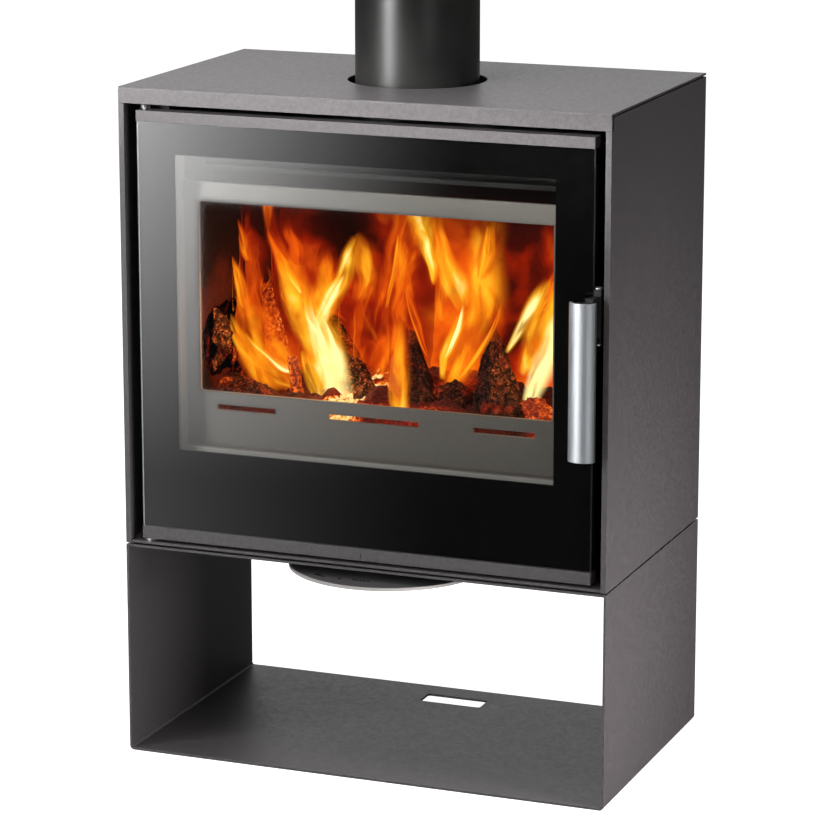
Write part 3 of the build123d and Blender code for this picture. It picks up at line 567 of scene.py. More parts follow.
def ember_wood(name, level, base=(0.018, 0.005, 0.002), attribute=None):
    """Wood burnt through to glowing speckled embers."""
    s = Shader(name)
    where = warped(s, 70.0, 0.014)
    cell = s.cells(120.0, vector=where)
    fine = s.noise(210.0, detail=6.0, roughness=0.75)
    wide = s.noise(24.0, detail=4.0)
    speck = s.spread(fine, 0.40, 0.66)
    crack = s.spread(cell, 0.02, 0.22, 1.0, 0.35)
    heat = s.plus(s.times(speck, 0.7), s.times(crack, 0.35))
    heat = s.times(heat, s.spread(wide, 0.3, 0.65, 0.45, 1.1))
    heat = s.times(heat, level)
    if attribute:
        heat = s.times(heat, s.attribute(attribute), clamp=True)
    ash = s.mix(s.spread(fine, 0.3, 0.7), tint(base, 0.4), base)
    height = s.plus(fine, s.spread(cell, 0.0, 0.3))
    return s.surface(
        Base_Color=ash,
        Roughness=0.9,
        Normal=s.bump(height, 0.002, 1.0),
        Emission_Color=s.ramp(heat, FIRE_COLOURS),
        Emission_Strength=1.3,
    )


def glowing_wood():
    """A peeled log that glows all over, with darker lengthwise streaks."""
    s = Shader("glowing_log")
    streak = s.noise(1.0, detail=4.0, roughness=0.6, vector=s.stretch(160.0, 160.0, 14.0))
    fine = s.noise(240.0, detail=5.0, roughness=0.7)
    heat = s.plus(s.spread(streak, 0.3, 0.7, 0.40, 0.84), s.spread(fine, 0.3, 0.7, -0.12, 0.04))
    return s.surface(
        Base_Color=(0.06, 0.02, 0.006),
        Roughness=0.8,
        Normal=s.bump(streak, 0.001, 0.7),
        Emission_Color=s.ramp(heat, FIRE_COLOURS),
        Emission_Strength=0.75,
    )


def keep_inside(spot):
    """Holds a point within the lined fire space."""
    spot.x = min(max(spot.x, -LINING_FACE + CLEARANCE), LINING_FACE - CLEARANCE)
    spot.y = min(max(spot.y, LINING_LOW.y + CLEARANCE), REAR_FACE - CLEARANCE)
    spot.z = min(max(spot.z, HEARTH_TOP + HEARTH_CLEARANCE), BAFFLE_LOW.z - CLEARANCE)
    return spot


def log(name, start, end, radius, material, seed, end_radius=None, ragged=0.16, chunk=0.05):
    """A rough log with closed ends; start and end are places that seen_at takes."""
    start, end = seen_at(*start), seen_at(*end)
    rings, around = 90, 72
    end_radius = end_radius or radius
    length = (end - start).length
    lean = (end - start).to_track_quat("Z", "Y")
    vertices = []
    for ring in range(rings + 4):
        inside = min(max(ring - 2, 0), rings - 1)
        along = inside / (rings - 1)
        shrink = {0: 0.0, 1: 0.62, rings + 2: 0.62, rings + 3: 0.0}.get(ring, 1.0)
        size = radius + (end_radius - radius) * along
        for step in range(around):
            angle = 2 * math.pi * step / around
            side = Vector((math.cos(angle), math.sin(angle), 0))
            knot = Vector((side.x * 1.3 + seed, side.y * 1.3, along * length * 14))
            lump = noise.fractal(knot, 1.0, 2.0, 4)
            bark = noise.fractal(Vector((side.x * 4, side.y * 4, along * length * 70 + seed)), 1.0, 2.0, 3)
            bulge = 1 + ragged * lump + chunk * bark
            spot = side * size * shrink * bulge
            rim = noise.noise(Vector((side.x * 3 + seed, side.y * 3, 4.0 * shrink)))
            spot.z = along * length
            if ring <= 2 or ring >= rings + 1:
                spot.z += radius * 0.3 * rim * (1 if ring <= 2 else -1)
            vertices.append(keep_inside(start + lean @ spot))
    piece = mesh_object(name, vertices, grid_faces(rings + 4, around, closed=True))
    piece.data.materials.append(material)
    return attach(piece, "stove_body")


BED_GLOW = [
    (-0.24, 0.18), (-0.13, 0.16), (-0.085, 0.6), (-0.072, 2.6), (-0.035, 2.6), (-0.022, 0.75),
    (0.06, 0.62), (0.10, 0.10), (0.19, 0.10), (0.215, 0.8), (0.24, 0.8),
]
BED_HEAP_MARGIN = 0.006
BED_HEAP_GLOW = 0.26


def bed_glow(spot):
    """How much of the ember bed is alight here: set across the hearth, less on high heaps."""
    level = BED_GLOW[-1][1]
    for (x0, a), (x1, b) in zip(BED_GLOW, BED_GLOW[1:]):
        if spot.x <= x1:
            level = a + (b - a) * max(0.0, spot.x - x0) / (x1 - x0)
            break
    return level * (1.0 if spot.z < MOUTH_LOW - BED_HEAP_MARGIN else BED_HEAP_GLOW)


def ember_bed():
    """A bumpy bed of glowing coals over the hearth."""
    columns, rows = 150, 84
    low_x, high_x = -LINING_FACE + 0.002, LINING_FACE - 0.002
    front, back = LINING_LOW.y + 0.003, REAR_FACE - 0.003
    vertices = []
    for row in range(rows):
        y = front + (back - front) * row / (rows - 1)
        for column in range(columns):
            x = low_x + (high_x - low_x) * column / (columns - 1)
            spot = Vector((x, y, 0.0))
            coal = noise.cell(spot * 60.0)
            lump = noise.fractal(spot * 28.0, 1.0, 2.0, 4)
            mound = 0.036 + 0.02 * math.sin(math.pi * column / (columns - 1))
            spot.z = HEARTH_TOP + max(0.004, mound + 0.016 * lump + 0.004 * coal)
            vertices.append(spot)
    top = len(vertices)
    for number in range(top):
        low = vertices[number].copy()
        low.z = HEARTH_TOP + 0.0006
        vertices.append(low)
    faces = grid_faces(rows, columns)
    faces += [tuple(top + i for i in reversed(face)) for face in grid_faces(rows, columns)]
    border = list(range(columns))
    border += [r * columns + columns - 1 for r in range(1, rows)]
    border += [(rows - 1) * columns + c for c in range(columns - 2, -1, -1)]
    border += [r * columns for r in range(rows - 2, 0, -1)]
    for a, b in zip(border, border[1:] + border[:1]):
        faces.append((b, a, a + top, b + top))
    piece = mesh_object("ember_bed", vertices, faces)
    add_number(piece, "alight", [bed_glow(spot) for spot in vertices])
    piece.data.materials.append(ember_wood("embers", 1.0, attribute="alight"))
    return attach(piece, "stove_body")


def make_wood():
    left_bark = bark_wood("left_bark", (0.42, 0.15, 0.06), (0.008, 0.004, 0.003), glow=1.0)
    low_bark = bark_wood("low_bark", (0.34, 0.09, 0.035), (0.012, 0.004, 0.003), plate=190.0, glow=0.9)
    char = bark_wood("charred_bark", (0.17, 0.055, 0.035), (0.003, 0.002, 0.002), plate=230.0, glow=0.45)
    brown = bark_wood("brown_wood", (0.22, 0.07, 0.03), (0.02, 0.007, 0.004), plate=90.0, glow=0.6)
    ember = ember_wood("ember_branch", 0.9, base=(0.020, 0.006, 0.002))
    log("log_left_high", (0.005, 0.26, 0.035), (-0.14, 0.42, 0.20), 0.040,
        left_bark, 1.0, ragged=0.2, chunk=0.12)
    log("log_left_low", (0.20, -0.10, 0.03), (-0.06, 0.035, 0.12), 0.030,
        low_bark, 2.0, chunk=0.12)
    log("branch_left_low", (0.285, -0.12, 0.06), (0.262, 0.22, 0.08), 0.010,
        ember, 3.0, end_radius=0.006, chunk=0.2)
    log("branch_left_high", (0.215, 0.20, 0.13), (0.175, 0.60, 0.19), 0.015,
        ember, 3.5, end_radius=0.007, chunk=0.2)
    log("log_middle", (0.515, -0.12, 0.045), (0.375, 0.44, 0.20), 0.021,
        left_bark, 4.0, end_radius=0.008, chunk=0.12)
    log("log_centre", (0.572, -0.12, 0.055), (0.568, 0.26, 0.10), 0.018,
        glowing_wood(), 5.0, end_radius=0.008, ragged=0.10, chunk=0.03)
    log("log_centre_dark", (0.655, -0.14, 0.045), (0.600, 0.40, 0.15), 0.026,
        brown, 5.5, end_radius=0.008, chunk=0.10)
    log("log_right_low", (0.745, -0.16, 0.04), (0.725, 0.10, 0.10), 0.022,
        low_bark, 7.0, chunk=0.12)
    log("log_right", (0.875, -0.30, 0.045), (0.838, 0.45, 0.12), 0.052,
        char, 6.0, end_radius=0.006, ragged=0.22, chunk=0.16)
    log("log_far_right", (1.02, -0.10, 0.04), (0.95, 0.06, 0.09), 0.018,
        ember, 8.0, chunk=0.2)
    ember_bed()


make_wood()


# ---------------- flames
def flame_material(name, cover):
    """Streaky see-through fire: warmth sets colour and brightness, edges fade away."""
    s = Shader(name)
    across = s.attribute("across")
    along = s.attribute("along")
    body = s.attribute("body")
    where = s.node("ShaderNodeCombineXYZ")
    s.put(where.inputs["X"], across)
    s.put(where.inputs["Y"], along)
    s.put(where.inputs["Z"], s.attribute("seed"))
    streaks = s.noise(1.4, detail=2.5, roughness=0.45, distortion=0.5, vector=where.outputs["Vector"])
    threads = s.noise(4.2, detail=2.0, roughness=0.5, distortion=0.3, vector=where.outputs["Vector"])
    fade = s.spread(s.math("ABSOLUTE", across), 0.15, 1.0, 1.0, 0.0, smooth=True)
    wisp = s.spread(streaks, 0.34, 0.60, cover, 1.0, smooth=True)
    alpha = s.times(s.times(fade, body), wisp, clamp=True)
    hot = s.plus(s.attribute("warmth"), s.times(s.math("SUBTRACT", streaks, 0.5), 0.66))
    hot = s.plus(hot, s.times(s.math("SUBTRACT", threads, 0.5), 0.14))
    hot = s.plus(hot, s.times(s.math("SUBTRACT", fade, 0.7), 0.22), clamp=True)
    colour = s.ramp(
        hot,
        [
            (0.0, (0.010, 0.0008, 0.0004)),
            (0.20, (0.085, 0.004, 0.001)),
            (0.36, (0.38, 0.015, 0.0015)),
            (0.52, (0.84, 0.10, 0.003)),
            (0.68, (1.0, 0.27, 0.006)),
            (0.84, (1.0, 0.48, 0.02)),
            (1.0, (1.0, 0.84, 0.32)),
        ],
    )
    fire = s.node("ShaderNodeEmission")
    s.put(fire.inputs["Color"], colour)
    s.put(fire.inputs["Strength"], s.spread(hot, 0.3, 1.0, 1.15, 1.8))
    clear = s.node("ShaderNodeBsdfTransparent")
    s.material.cycles.emission_sampling = "NONE"
    return s.blend(alpha, clear.outputs["BSDF"], fire.outputs["Emission"])


def between(points, t):
    """A smooth curve through a list of tuples, at t from 0 to 1."""
    count = len(points) - 1
    spot = min(t * count, count - 1e-6)
    index = int(spot)
    f = spot - index
    a, b, c, d = (points[min(max(index + k, 0), count)] for k in (-1, 0, 1, 2))
    return [
        0.5 * (2 * q + (r - p) * f + (2 * p - 5 * q + 4 * r - w) * f * f + (3 * q - p - 3 * r + w) * f ** 3)
        for p, q, r, w in zip(a, b, c, d)
    ]


STREAKS_PER_METRE = 11.0


class Flames:
    """Collects curved ribbons of fire in one mesh."""

    def __init__(self, name):
        self.name = name
        self.vertices = []
        self.faces = []
        self.numbers = {"across": [], "along": [], "warmth": [], "body": [], "seed": []}

    def tongue(self, route, seed, body=0.85, waver=0.004):
        """One ribbon along a route; body is its cover and waver how far it sways."""
        rows, columns = 48, 9
        first = len(self.vertices)
        reach = 0.0
        last = None
        for row in range(rows):
            t = row / (rows - 1)
            across, up, depth, half, heat = between(route, t)
            middle = seen_at(across, up, depth)
            reach += (middle - last).length if last else 0.0
            last = middle
            ahead = between(route, min(t + 0.02, 1.0))
            behind = between(route, max(t - 0.02, 0.0))
            rise = (seen_at(*ahead[:3]) - seen_at(*behind[:3])).normalized()
            side = rise.cross(Vector((0, 1, 0)))
            side = side.normalized() if side.length > 1e-6 else Vector((1, 0, 0))
            sway = tumble(middle * 26.0, seed) * waver
            fade = min(1.0, t * 9, (1 - t) * 4)
            for column in range(columns):
                a = 2 * column / (columns - 1) - 1
                bow = Vector((0, half * 0.5 * a * a, 0))
                crimp = tumble(middle * 40.0 + Vector((a, 0, 0)), seed + 3) * waver * 0.6
                self.vertices.append(keep_inside(middle + side * (half * a) + bow + sway + crimp))
                self.numbers["across"].append(a)
                self.numbers["along"].append(reach * STREAKS_PER_METRE)
                self.numbers["warmth"].append(heat)
                self.numbers["body"].append(body * fade)
                self.numbers["seed"].append(seed * 3.7)
        for face in grid_faces(rows, columns):
            self.faces.append(tuple(first + i for i in face))

    def build(self, material):
        piece = mesh_object(self.name, self.vertices, self.faces)
        for name, values in self.numbers.items():
            add_number(piece, name, values)
        piece.data.materials.append(material)
        piece.visible_shadow = False
        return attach(piece, "stove_body")


# Each flame is what Flames.tongue takes: a route and a seed, then body and waver where they
# differ from the usual. Each stop of a route is (across, up, depth, half width, heat).
BACK_FLAMES = [
    # Wide dull sheets far back, from left to right; the black gap at the top stays free.
    ([(0.02, -0.1, 0.22, 0.09, 0.42), (0.03, 0.4, 0.22, 0.09, 0.3),
        (0.02, 1.1, 0.22, 0.09, 0.2)], 1.0, 1.0),
    ([(0.14, -0.1, 0.23, 0.08, 0.5), (0.16, 0.45, 0.23, 0.08, 0.34),
        (0.13, 1.1, 0.23, 0.08, 0.22)], 1.5, 1.0),
    ([(0.28, -0.1, 0.24, 0.09, 0.52), (0.28, 0.5, 0.24, 0.08, 0.36),
        (0.24, 1.1, 0.24, 0.06, 0.24)], 2.0, 1.0),
    ([(0.42, -0.1, 0.23, 0.09, 0.42), (0.42, 0.4, 0.23, 0.08, 0.3),
        (0.42, 0.85, 0.23, 0.07, 0.1)], 3.0, 1.0),
    ([(0.55, -0.1, 0.22, 0.09, 0.38), (0.55, 0.5, 0.22, 0.09, 0.29),
        (0.56, 1.1, 0.22, 0.08, 0.27)], 4.0, 1.0),
    ([(0.72, -0.1, 0.23, 0.09, 0.46), (0.73, 0.5, 0.23, 0.09, 0.42),
        (0.72, 1.1, 0.23, 0.08, 0.34)], 5.0, 1.0),
    ([(0.9, -0.1, 0.22, 0.07, 0.44), (0.91, 0.5, 0.22, 0.08, 0.2), (0.9, 1.1, 0.22, 0.07, 0.14)], 6.0, 1.0),
    ([(1.02, -0.1, 0.21, 0.06, 0.5), (1.02, 0.5, 0.21, 0.06, 0.34),
        (1.02, 1.1, 0.21, 0.05, 0.22)], 6.5, 1.0),
]
MIDDLE_FLAMES = [
    # Left: dull red smoke, then a wide soft sheet with thin streaks and a bright arc at its foot.
    ([(0.02, 0.1, 0.13, 0.045, 0.36), (0.03, 0.5, 0.13, 0.05, 0.27),
        (0.03, 1.1, 0.13, 0.045, 0.2)], 10.0, 0.9),
    ([(0.12, 0.4, 0.14, 0.045, 0.36), (0.11, 0.75, 0.14, 0.05, 0.28),
        (0.11, 1.1, 0.14, 0.045, 0.22)], 10.5, 0.8),
    ([(0.22, 0.02, 0.09, 0.03, 0.58), (0.14, 0.22, 0.1, 0.038, 0.6), (0.1, 0.46, 0.11, 0.034, 0.52),
        (0.075, 0.68, 0.12, 0.018, 0.46), (0.06, 0.85, 0.12, 0.006, 0.3)], 11.0, 0.85),
    ([(0.27, 0.1, 0.1, 0.028, 0.55), (0.2, 0.28, 0.11, 0.034, 0.52),
        (0.17, 0.5, 0.12, 0.024, 0.42)], 12.0, 0.8),
    ([(0.125, 0.46, 0.1, 0.01, 0.62), (0.1, 0.58, 0.1, 0.011, 0.68),
        (0.078, 0.74, 0.1, 0.005, 0.46)], 13.0, 0.9, 0.002),
    ([(0.085, 0.44, 0.1, 0.004, 0.6), (0.055, 0.55, 0.1, 0.003, 0.62),
        (0.035, 0.68, 0.1, 0.002, 0.4)], 13.3, 0.8, 0.002),
    ([(0.125, 0.72, 0.12, 0.01, 0.46), (0.115, 0.82, 0.12, 0.012, 0.54),
        (0.095, 0.94, 0.12, 0.006, 0.36)], 13.6, 0.8),
    ([(0.275, 0.145, 0.08, 0.003, 0.9), (0.235, 0.155, 0.08, 0.007, 0.95), (0.18, 0.215, 0.08, 0.006, 0.88),
        (0.12, 0.33, 0.08, 0.003, 0.66)], 17.0, 1.0, 0.002),
    ([(0.27, 0.05, 0.09, 0.016, 0.66), (0.19, 0.12, 0.09, 0.018, 0.68), (0.11, 0.27, 0.09, 0.014, 0.66),
        (0.07, 0.42, 0.09, 0.006, 0.56)], 17.5, 0.8),
    # The big body that leans up to the left.
    ([(0.38, -0.05, 0.1, 0.032, 0.8), (0.34, 0.22, 0.11, 0.036, 0.78), (0.29, 0.48, 0.12, 0.036, 0.72),
        (0.255, 0.62, 0.12, 0.032, 0.64), (0.225, 0.76, 0.13, 0.02, 0.5), (0.195, 0.92, 0.13, 0.014, 0.36),
        (0.18, 1.05, 0.13, 0.008, 0.5)], 15.0, 0.95),
    ([(0.28, 0.56, 0.11, 0.008, 0.72), (0.25, 0.66, 0.11, 0.01, 0.68),
        (0.225, 0.78, 0.11, 0.005, 0.54)], 15.3, 0.9, 0.002),
    ([(0.28, 0.5, 0.13, 0.02, 0.5), (0.272, 0.72, 0.13, 0.02, 0.42),
        (0.24, 0.98, 0.13, 0.014, 0.3)], 15.6, 0.85),
    ([(0.185, 1.04, 0.12, 0.012, 0.62), (0.185, 0.96, 0.12, 0.009, 0.56),
        (0.19, 0.88, 0.12, 0.005, 0.4)], 15.8, 0.9, 0.002),
    # White-hot core with two strands.
    ([(0.405, -0.1, 0.07, 0.026, 1.04), (0.385, 0.08, 0.07, 0.026, 1.06), (0.36, 0.2, 0.075, 0.02, 1.02),
        (0.335, 0.35, 0.08, 0.018, 0.96), (0.312, 0.5, 0.085, 0.014, 0.86),
        (0.295, 0.62, 0.09, 0.007, 0.7)], 16.0, 1.0, 0.003),
    ([(0.395, 0.1, 0.072, 0.016, 1.02), (0.395, 0.25, 0.075, 0.014, 0.96), (0.355, 0.4, 0.08, 0.009, 0.9),
        (0.335, 0.5, 0.085, 0.004, 0.76)], 16.4, 0.95, 0.003),
    ([(0.345, -0.06, 0.075, 0.016, 0.88), (0.315, 0.1, 0.08, 0.012, 0.8),
        (0.295, 0.26, 0.085, 0.006, 0.7)], 16.8, 0.9, 0.003),
    # The tongue that bends right and curls over.
    ([(0.325, 0.36, 0.09, 0.016, 0.86), (0.365, 0.54, 0.1, 0.018, 0.82), (0.405, 0.66, 0.1, 0.016, 0.8),
        (0.428, 0.78, 0.1, 0.014, 0.76), (0.45, 0.885, 0.1, 0.008, 0.62)], 19.0, 0.95, 0.002),
    ([(0.45, 0.54, 0.12, 0.012, 0.52), (0.468, 0.68, 0.12, 0.022, 0.62), (0.462, 0.8, 0.12, 0.022, 0.66),
        (0.44, 0.9, 0.12, 0.01, 0.58)], 20.0, 0.9),
    ([(0.345, 0.44, 0.1, 0.004, 0.86), (0.38, 0.56, 0.095, 0.007, 0.86),
        (0.41, 0.68, 0.095, 0.005, 0.76)], 20.5, 0.9, 0.001),
    ([(0.33, 0.46, 0.12, 0.024, 0.66), (0.355, 0.64, 0.12, 0.026, 0.6),
        (0.362, 0.84, 0.12, 0.01, 0.4)], 21.0, 0.85),
    ([(0.44, 0.1, 0.13, 0.03, 0.46), (0.45, 0.35, 0.13, 0.03, 0.36),
        (0.49, 0.62, 0.13, 0.026, 0.28)], 21.5, 0.7),
    # Deep red and orange middle.
    ([(0.5, 0.16, 0.13, 0.03, 0.42), (0.535, 0.45, 0.12, 0.032, 0.34), (0.555, 0.75, 0.12, 0.028, 0.38),
        (0.59, 1.06, 0.12, 0.02, 0.46)], 22.0, 0.85),
    ([(0.56, 0.3, 0.11, 0.02, 0.4), (0.575, 0.6, 0.11, 0.026, 0.44), (0.6, 0.85, 0.11, 0.024, 0.52),
        (0.62, 1.06, 0.11, 0.02, 0.6)], 22.4, 0.85),
    ([(0.535, 0.52, 0.11, 0.004, 0.54), (0.56, 0.74, 0.1, 0.005, 0.66),
        (0.57, 0.92, 0.1, 0.003, 0.56)], 22.8, 0.8, 0.001),
    ([(0.66, 0.27, 0.075, 0.003, 0.42), (0.632, 0.38, 0.08, 0.008, 0.46), (0.604, 0.58, 0.09, 0.01, 0.48),
        (0.58, 0.78, 0.1, 0.01, 0.44)], 23.0, 0.9, 0.002),
    ([(0.572, -0.06, 0.02, 0.016, 0.74), (0.566, 0.1, 0.022, 0.018, 0.68), (0.566, 0.26, 0.03, 0.018, 0.58),
        (0.575, 0.46, 0.05, 0.012, 0.48)], 24.0, 0.9, 0.002),
    # The bright tongue that drops from the top, right of the middle.
    ([(0.674, 0.66, 0.1, 0.004, 0.62), (0.664, 0.78, 0.1, 0.014, 0.76), (0.644, 0.92, 0.1, 0.022, 0.8),
        (0.62, 1.07, 0.1, 0.026, 0.78)], 26.0, 1.0, 0.002),
    ([(0.705, 0.46, 0.12, 0.018, 0.5), (0.7, 0.75, 0.12, 0.02, 0.58),
        (0.683, 1.06, 0.12, 0.02, 0.58)], 27.0, 0.9),
    # The large column on the right, an S from the charred log to the top.
    ([(0.715, 0.06, 0.09, 0.02, 0.5), (0.745, 0.25, 0.09, 0.034, 0.6), (0.8, 0.46, 0.1, 0.034, 0.64),
        (0.81, 0.64, 0.1, 0.034, 0.64), (0.805, 0.82, 0.11, 0.032, 0.66),
        (0.83, 1.06, 0.12, 0.03, 0.56)], 28.0, 1.0, 0.002),
    ([(0.755, 0.54, 0.105, 0.014, 0.7), (0.73, 0.66, 0.105, 0.024, 0.82), (0.7, 0.79, 0.105, 0.018, 0.66),
        (0.685, 0.96, 0.105, 0.01, 0.52)], 29.0, 0.95, 0.002),
    ([(0.7, 0.16, 0.085, 0.01, 0.56), (0.705, 0.3, 0.085, 0.012, 0.7), (0.735, 0.44, 0.09, 0.016, 0.66),
        (0.77, 0.58, 0.1, 0.01, 0.6)], 29.5, 0.85),
    ([(0.706, 0.28, 0.07, 0.004, 0.8), (0.738, 0.43, 0.07, 0.006, 0.98),
        (0.756, 0.57, 0.08, 0.003, 0.78)], 30.0, 1.0, 0.001),
    ([(0.74, 0.16, 0.08, 0.004, 0.6), (0.79, 0.3, 0.08, 0.006, 0.66), (0.84, 0.46, 0.09, 0.004, 0.58),
        (0.865, 0.6, 0.09, 0.003, 0.48)], 31.0, 0.9, 0.001),
    ([(0.8, 0.7, 0.09, 0.006, 0.58), (0.82, 0.84, 0.09, 0.014, 0.68),
        (0.83, 0.99, 0.09, 0.01, 0.6)], 31.5, 0.9, 0.001),
    # The brightest flames on the far right.
    ([(0.935, 0.06, 0.08, 0.01, 1.05), (0.965, 0.22, 0.08, 0.018, 1.08), (1.0, 0.4, 0.08, 0.02, 0.96),
        (1.03, 0.6, 0.08, 0.014, 0.8)], 32.0, 1.0, 0.002),
    ([(0.878, 0.33, 0.1, 0.004, 0.78), (0.915, 0.46, 0.1, 0.009, 0.92), (0.95, 0.58, 0.1, 0.014, 0.84),
        (1.0, 0.74, 0.1, 0.01, 0.66)], 33.0, 1.0, 0.002),
    ([(0.93, 0.22, 0.11, 0.016, 0.76), (0.965, 0.42, 0.11, 0.026, 0.76), (1.01, 0.66, 0.11, 0.018, 0.6),
        (1.04, 0.84, 0.11, 0.01, 0.4)], 34.0, 0.95),
]


FLAME_SEED = 12


def make_flames():
    # Without a seed, noise_vector takes its offsets from the clock and the flames differ each run.
    noise.seed_set(FLAME_SEED)
    fire = flame_material("flame", 0.42)
    glow = flame_material("flame_haze", 0.9)
    layers = (("flames_back", BACK_FLAMES, glow), ("flames_middle", MIDDLE_FLAMES, fire))
    for name, flames, material in layers:
        layer = Flames(name)
        for flame in flames:
            layer.tongue(*flame)
        layer.build(material)

    random.seed(FLAME_SEED)
    licks = Flames("flames_front")
    for number in range(18):
        across = random.uniform(0.05, 0.82)
        up = random.uniform(0.1, 0.6)
        depth = random.uniform(0.06, 0.12)
        lean = random.uniform(-0.04, 0.04)
        tall = random.uniform(0.12, 0.35)
        half = random.uniform(0.002, 0.005)
        warmth = random.uniform(0.40, 0.60)
        route = [
            (across, up, depth, half, warmth),
            (across + lean, up + tall / 2, depth, half * 1.3, warmth * 0.95),
            (across + lean * 0.4, up + tall, depth, half * 0.4, warmth * 0.8),
        ]
        licks.tongue(route, 50.0 + number, 0.35, 0.003)
    licks.build(fire)


make_flames()


# ---------------- small details
def polished_glass_edges():
    """The bright ground edges of the pane, left and right; the right one is painted dark as shade."""
    s = Shader("ground_glass_edge")
    grind = s.noise(700.0, detail=3.0)
    parts = s.axes()
    shade = s.mix(grind, (0.42, 0.46, 0.44), (0.62, 0.66, 0.64))
    # Painted shade: to the right of the middle the edge colour is mixed almost to black, so the right edge
    # looks shaded.
    shade = s.mix(s.spread(parts["X"], 0.0, 0.1, 0.0, 0.9), shade, (0.01, 0.01, 0.01))
    material = s.surface(Base_Color=shade, Roughness=0.4, Normal=s.bump(grind, 0.00005, 0.5))
    low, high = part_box("door_glass")
    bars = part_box("door_bottom_bar")[1].z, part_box("door_top_bar")[0].z
    for side, name in ((-1, "glass_edge_left"), (1, "glass_edge_right")):
        outer = side * (high.x - 0.0001)
        inner = side * (high.x - 0.0009)
        profile = [(inner, low.y - 0.00005), (outer, low.y + 0.0008), (outer, high.y - 0.0002)]
        vertices = []
        rows = 24
        for row in range(rows):
            z = bars[0] + (bars[1] - bars[0]) * row / (rows - 1)
            vertices += [Vector((x, y, z)) for x, y in profile]
        piece = mesh_object(name, vertices, grid_faces(rows, 3), smooth=False)
        piece.data.materials.append(material)
        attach(piece, "door")


polished_glass_edges()


DISC_PIVOT_Y = -0.092


def air_disc_marks():
    """Raised setting marks on the air disc: three wedges, a round dot and a row of dashes."""
    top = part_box("air_disc")[1].z
    pivot = Vector((0.0, DISC_PIVOT_Y, top))
    vertices, faces = [], []

    def at(radius, degrees):
        turn = math.radians(degrees)
        return pivot + Vector((radius * math.sin(turn), -radius * math.cos(turn), 0.0))

    def plate(outline):
        """A thin raised plate with a slightly smaller top."""
        first = len(vertices)
        count = len(outline)
        centre = sum(outline, Vector()) / count
        for lift, shrink in ((-0.0001, 1.0), (0.0002, 0.96), (0.0003, 0.8)):
            vertices.extend(centre + (spot - centre) * shrink + Vector((0, 0, lift)) for spot in outline)
        for level in range(2):
            for step in range(count):
                a = first + level * count + step
                b = first + level * count + (step + 1) % count
                faces.append((a, b, b + count, a + count))
        faces.append(tuple(first + 2 * count + step for step in range(count)))

    for number, degrees in enumerate((-34.5, -31.2, -27.8)):
        size = 2.6 - 0.55 * number
        outer = [at(0.1095, degrees - 1.0), at(0.1095, degrees + size - 1.0)]
        plate(outer + [at(0.1035, degrees + 1.9), at(0.1035, degrees + 1.1)])
    turns = [math.pi * step / 10 for step in range(20)]
    dot = [Vector((0.0022 * math.cos(turn), 0.0022 * math.sin(turn), 0)) for turn in turns]
    plate([at(0.1005, -15.4) + spot for spot in dot])
    for number in range(5):
        degrees = -6.2 + 2.9 * number
        outer = [at(0.0975, degrees), at(0.0975, degrees + 1.7)]
        plate(outer + [at(0.0935, degrees + 1.7), at(0.0935, degrees)])
    piece = mesh_object("air_disc_marks", vertices, faces, smooth=False)
    piece.data.materials.append(MATERIAL_OF_SLOT["black_print"])
    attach(piece, "air_disc")


air_disc_marks()


# ---------------- studio
NEUTRAL = (1.0, 1.0, 1.0)
PALE_ROSE = (1.0, 0.97, 0.98)


def area_light(name, place, target, size, watts, colour=NEUTRAL, size_y=None, glossy=True, cone=180.0):
    data = bpy.data.lights.new(name, "AREA")
    data.spread = math.radians(cone)
    data.energy = watts
    data.color = colour
    data.shape = "RECTANGLE"
    data.size = size
    data.size_y = size_y or size
    lamp = bpy.data.objects.new(name, data)
    lamp.location = place
    lamp.rotation_mode = "QUATERNION"
    lamp.rotation_quaternion = (Vector(target) - Vector(place)).to_track_quat("-Z", "Y")
    lamp.visible_glossy = glossy
    scene.collection.objects.link(lamp)


def make_floor():
    half = 14.0
    gap = 0.0004
    corners = [(-half, -half, 0), (half, -half, 0), (half, half, 0), (-half, half, 0)]
    floor = mesh_object("floor", corners, [(0, 1, 2, 3)])
    floor.location.z = CAD_LOW.z - gap
    s = Shader("pale_floor")
    matt = s.node("ShaderNodeBsdfDiffuse")
    matt.inputs["Color"].default_value = (0.50, 0.50, 0.50, 1.0)
    lift = s.node("ShaderNodeEmission")
    path = s.node("ShaderNodeLightPath")
    s.put(lift.inputs["Strength"], path.outputs["Is Camera Ray"])
    both = s.node("ShaderNodeAddShader")
    s.put(both.inputs[0], matt.outputs["BSDF"])
    s.put(both.inputs[1], lift.outputs["Emission"])
    s.put(s.output.inputs["Surface"], both.outputs["Shader"])
    floor.data.materials.append(s.material)
    floor.visible_glossy = False


GLASS_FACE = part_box("door_glass")[0].y
CARD_X = (-3.2, -0.6)
CARD_Z = (-1.3, 2.2)
CARD_STRENGTH = 8.4
CARD_REST = 0.02
SHEEN_X = (-0.28, 0.145)
SHEEN_Z = (0.362, 1.2)
SHEEN_LEVELS = (0.36, 1.63)
FLAG_MARGIN = 0.0012
FLAG_SOFTNESS = 0.004
SLOT_LOW = 0.4425
SLOT_HIGH = 0.4495
SLOTS = [(-0.2091, -0.1301), (-0.0595, 0.0595), (0.1301, 0.2091)]


def mirrored_x(x):
    """How far across the card the camera's mirror image of a place on the glass lies."""
    return 2 * x - CAMERA_PLACE.x


def mirrored_z(z):
    """How high on the card the camera's mirror image of a place on the glass lies."""
    return 2 * z - CAMERA_PLACE.z


def on_glass(x, z):
    """Where the line from the camera to a place on the front plate crosses the glass."""
    share = (GLASS_FACE - CAMERA_PLACE.y) / (MOUTH_Y - CAMERA_PLACE.y)
    return CAMERA_PLACE.x + share * (x - CAMERA_PLACE.x), CAMERA_PLACE.z + share * (z - CAMERA_PLACE.z)


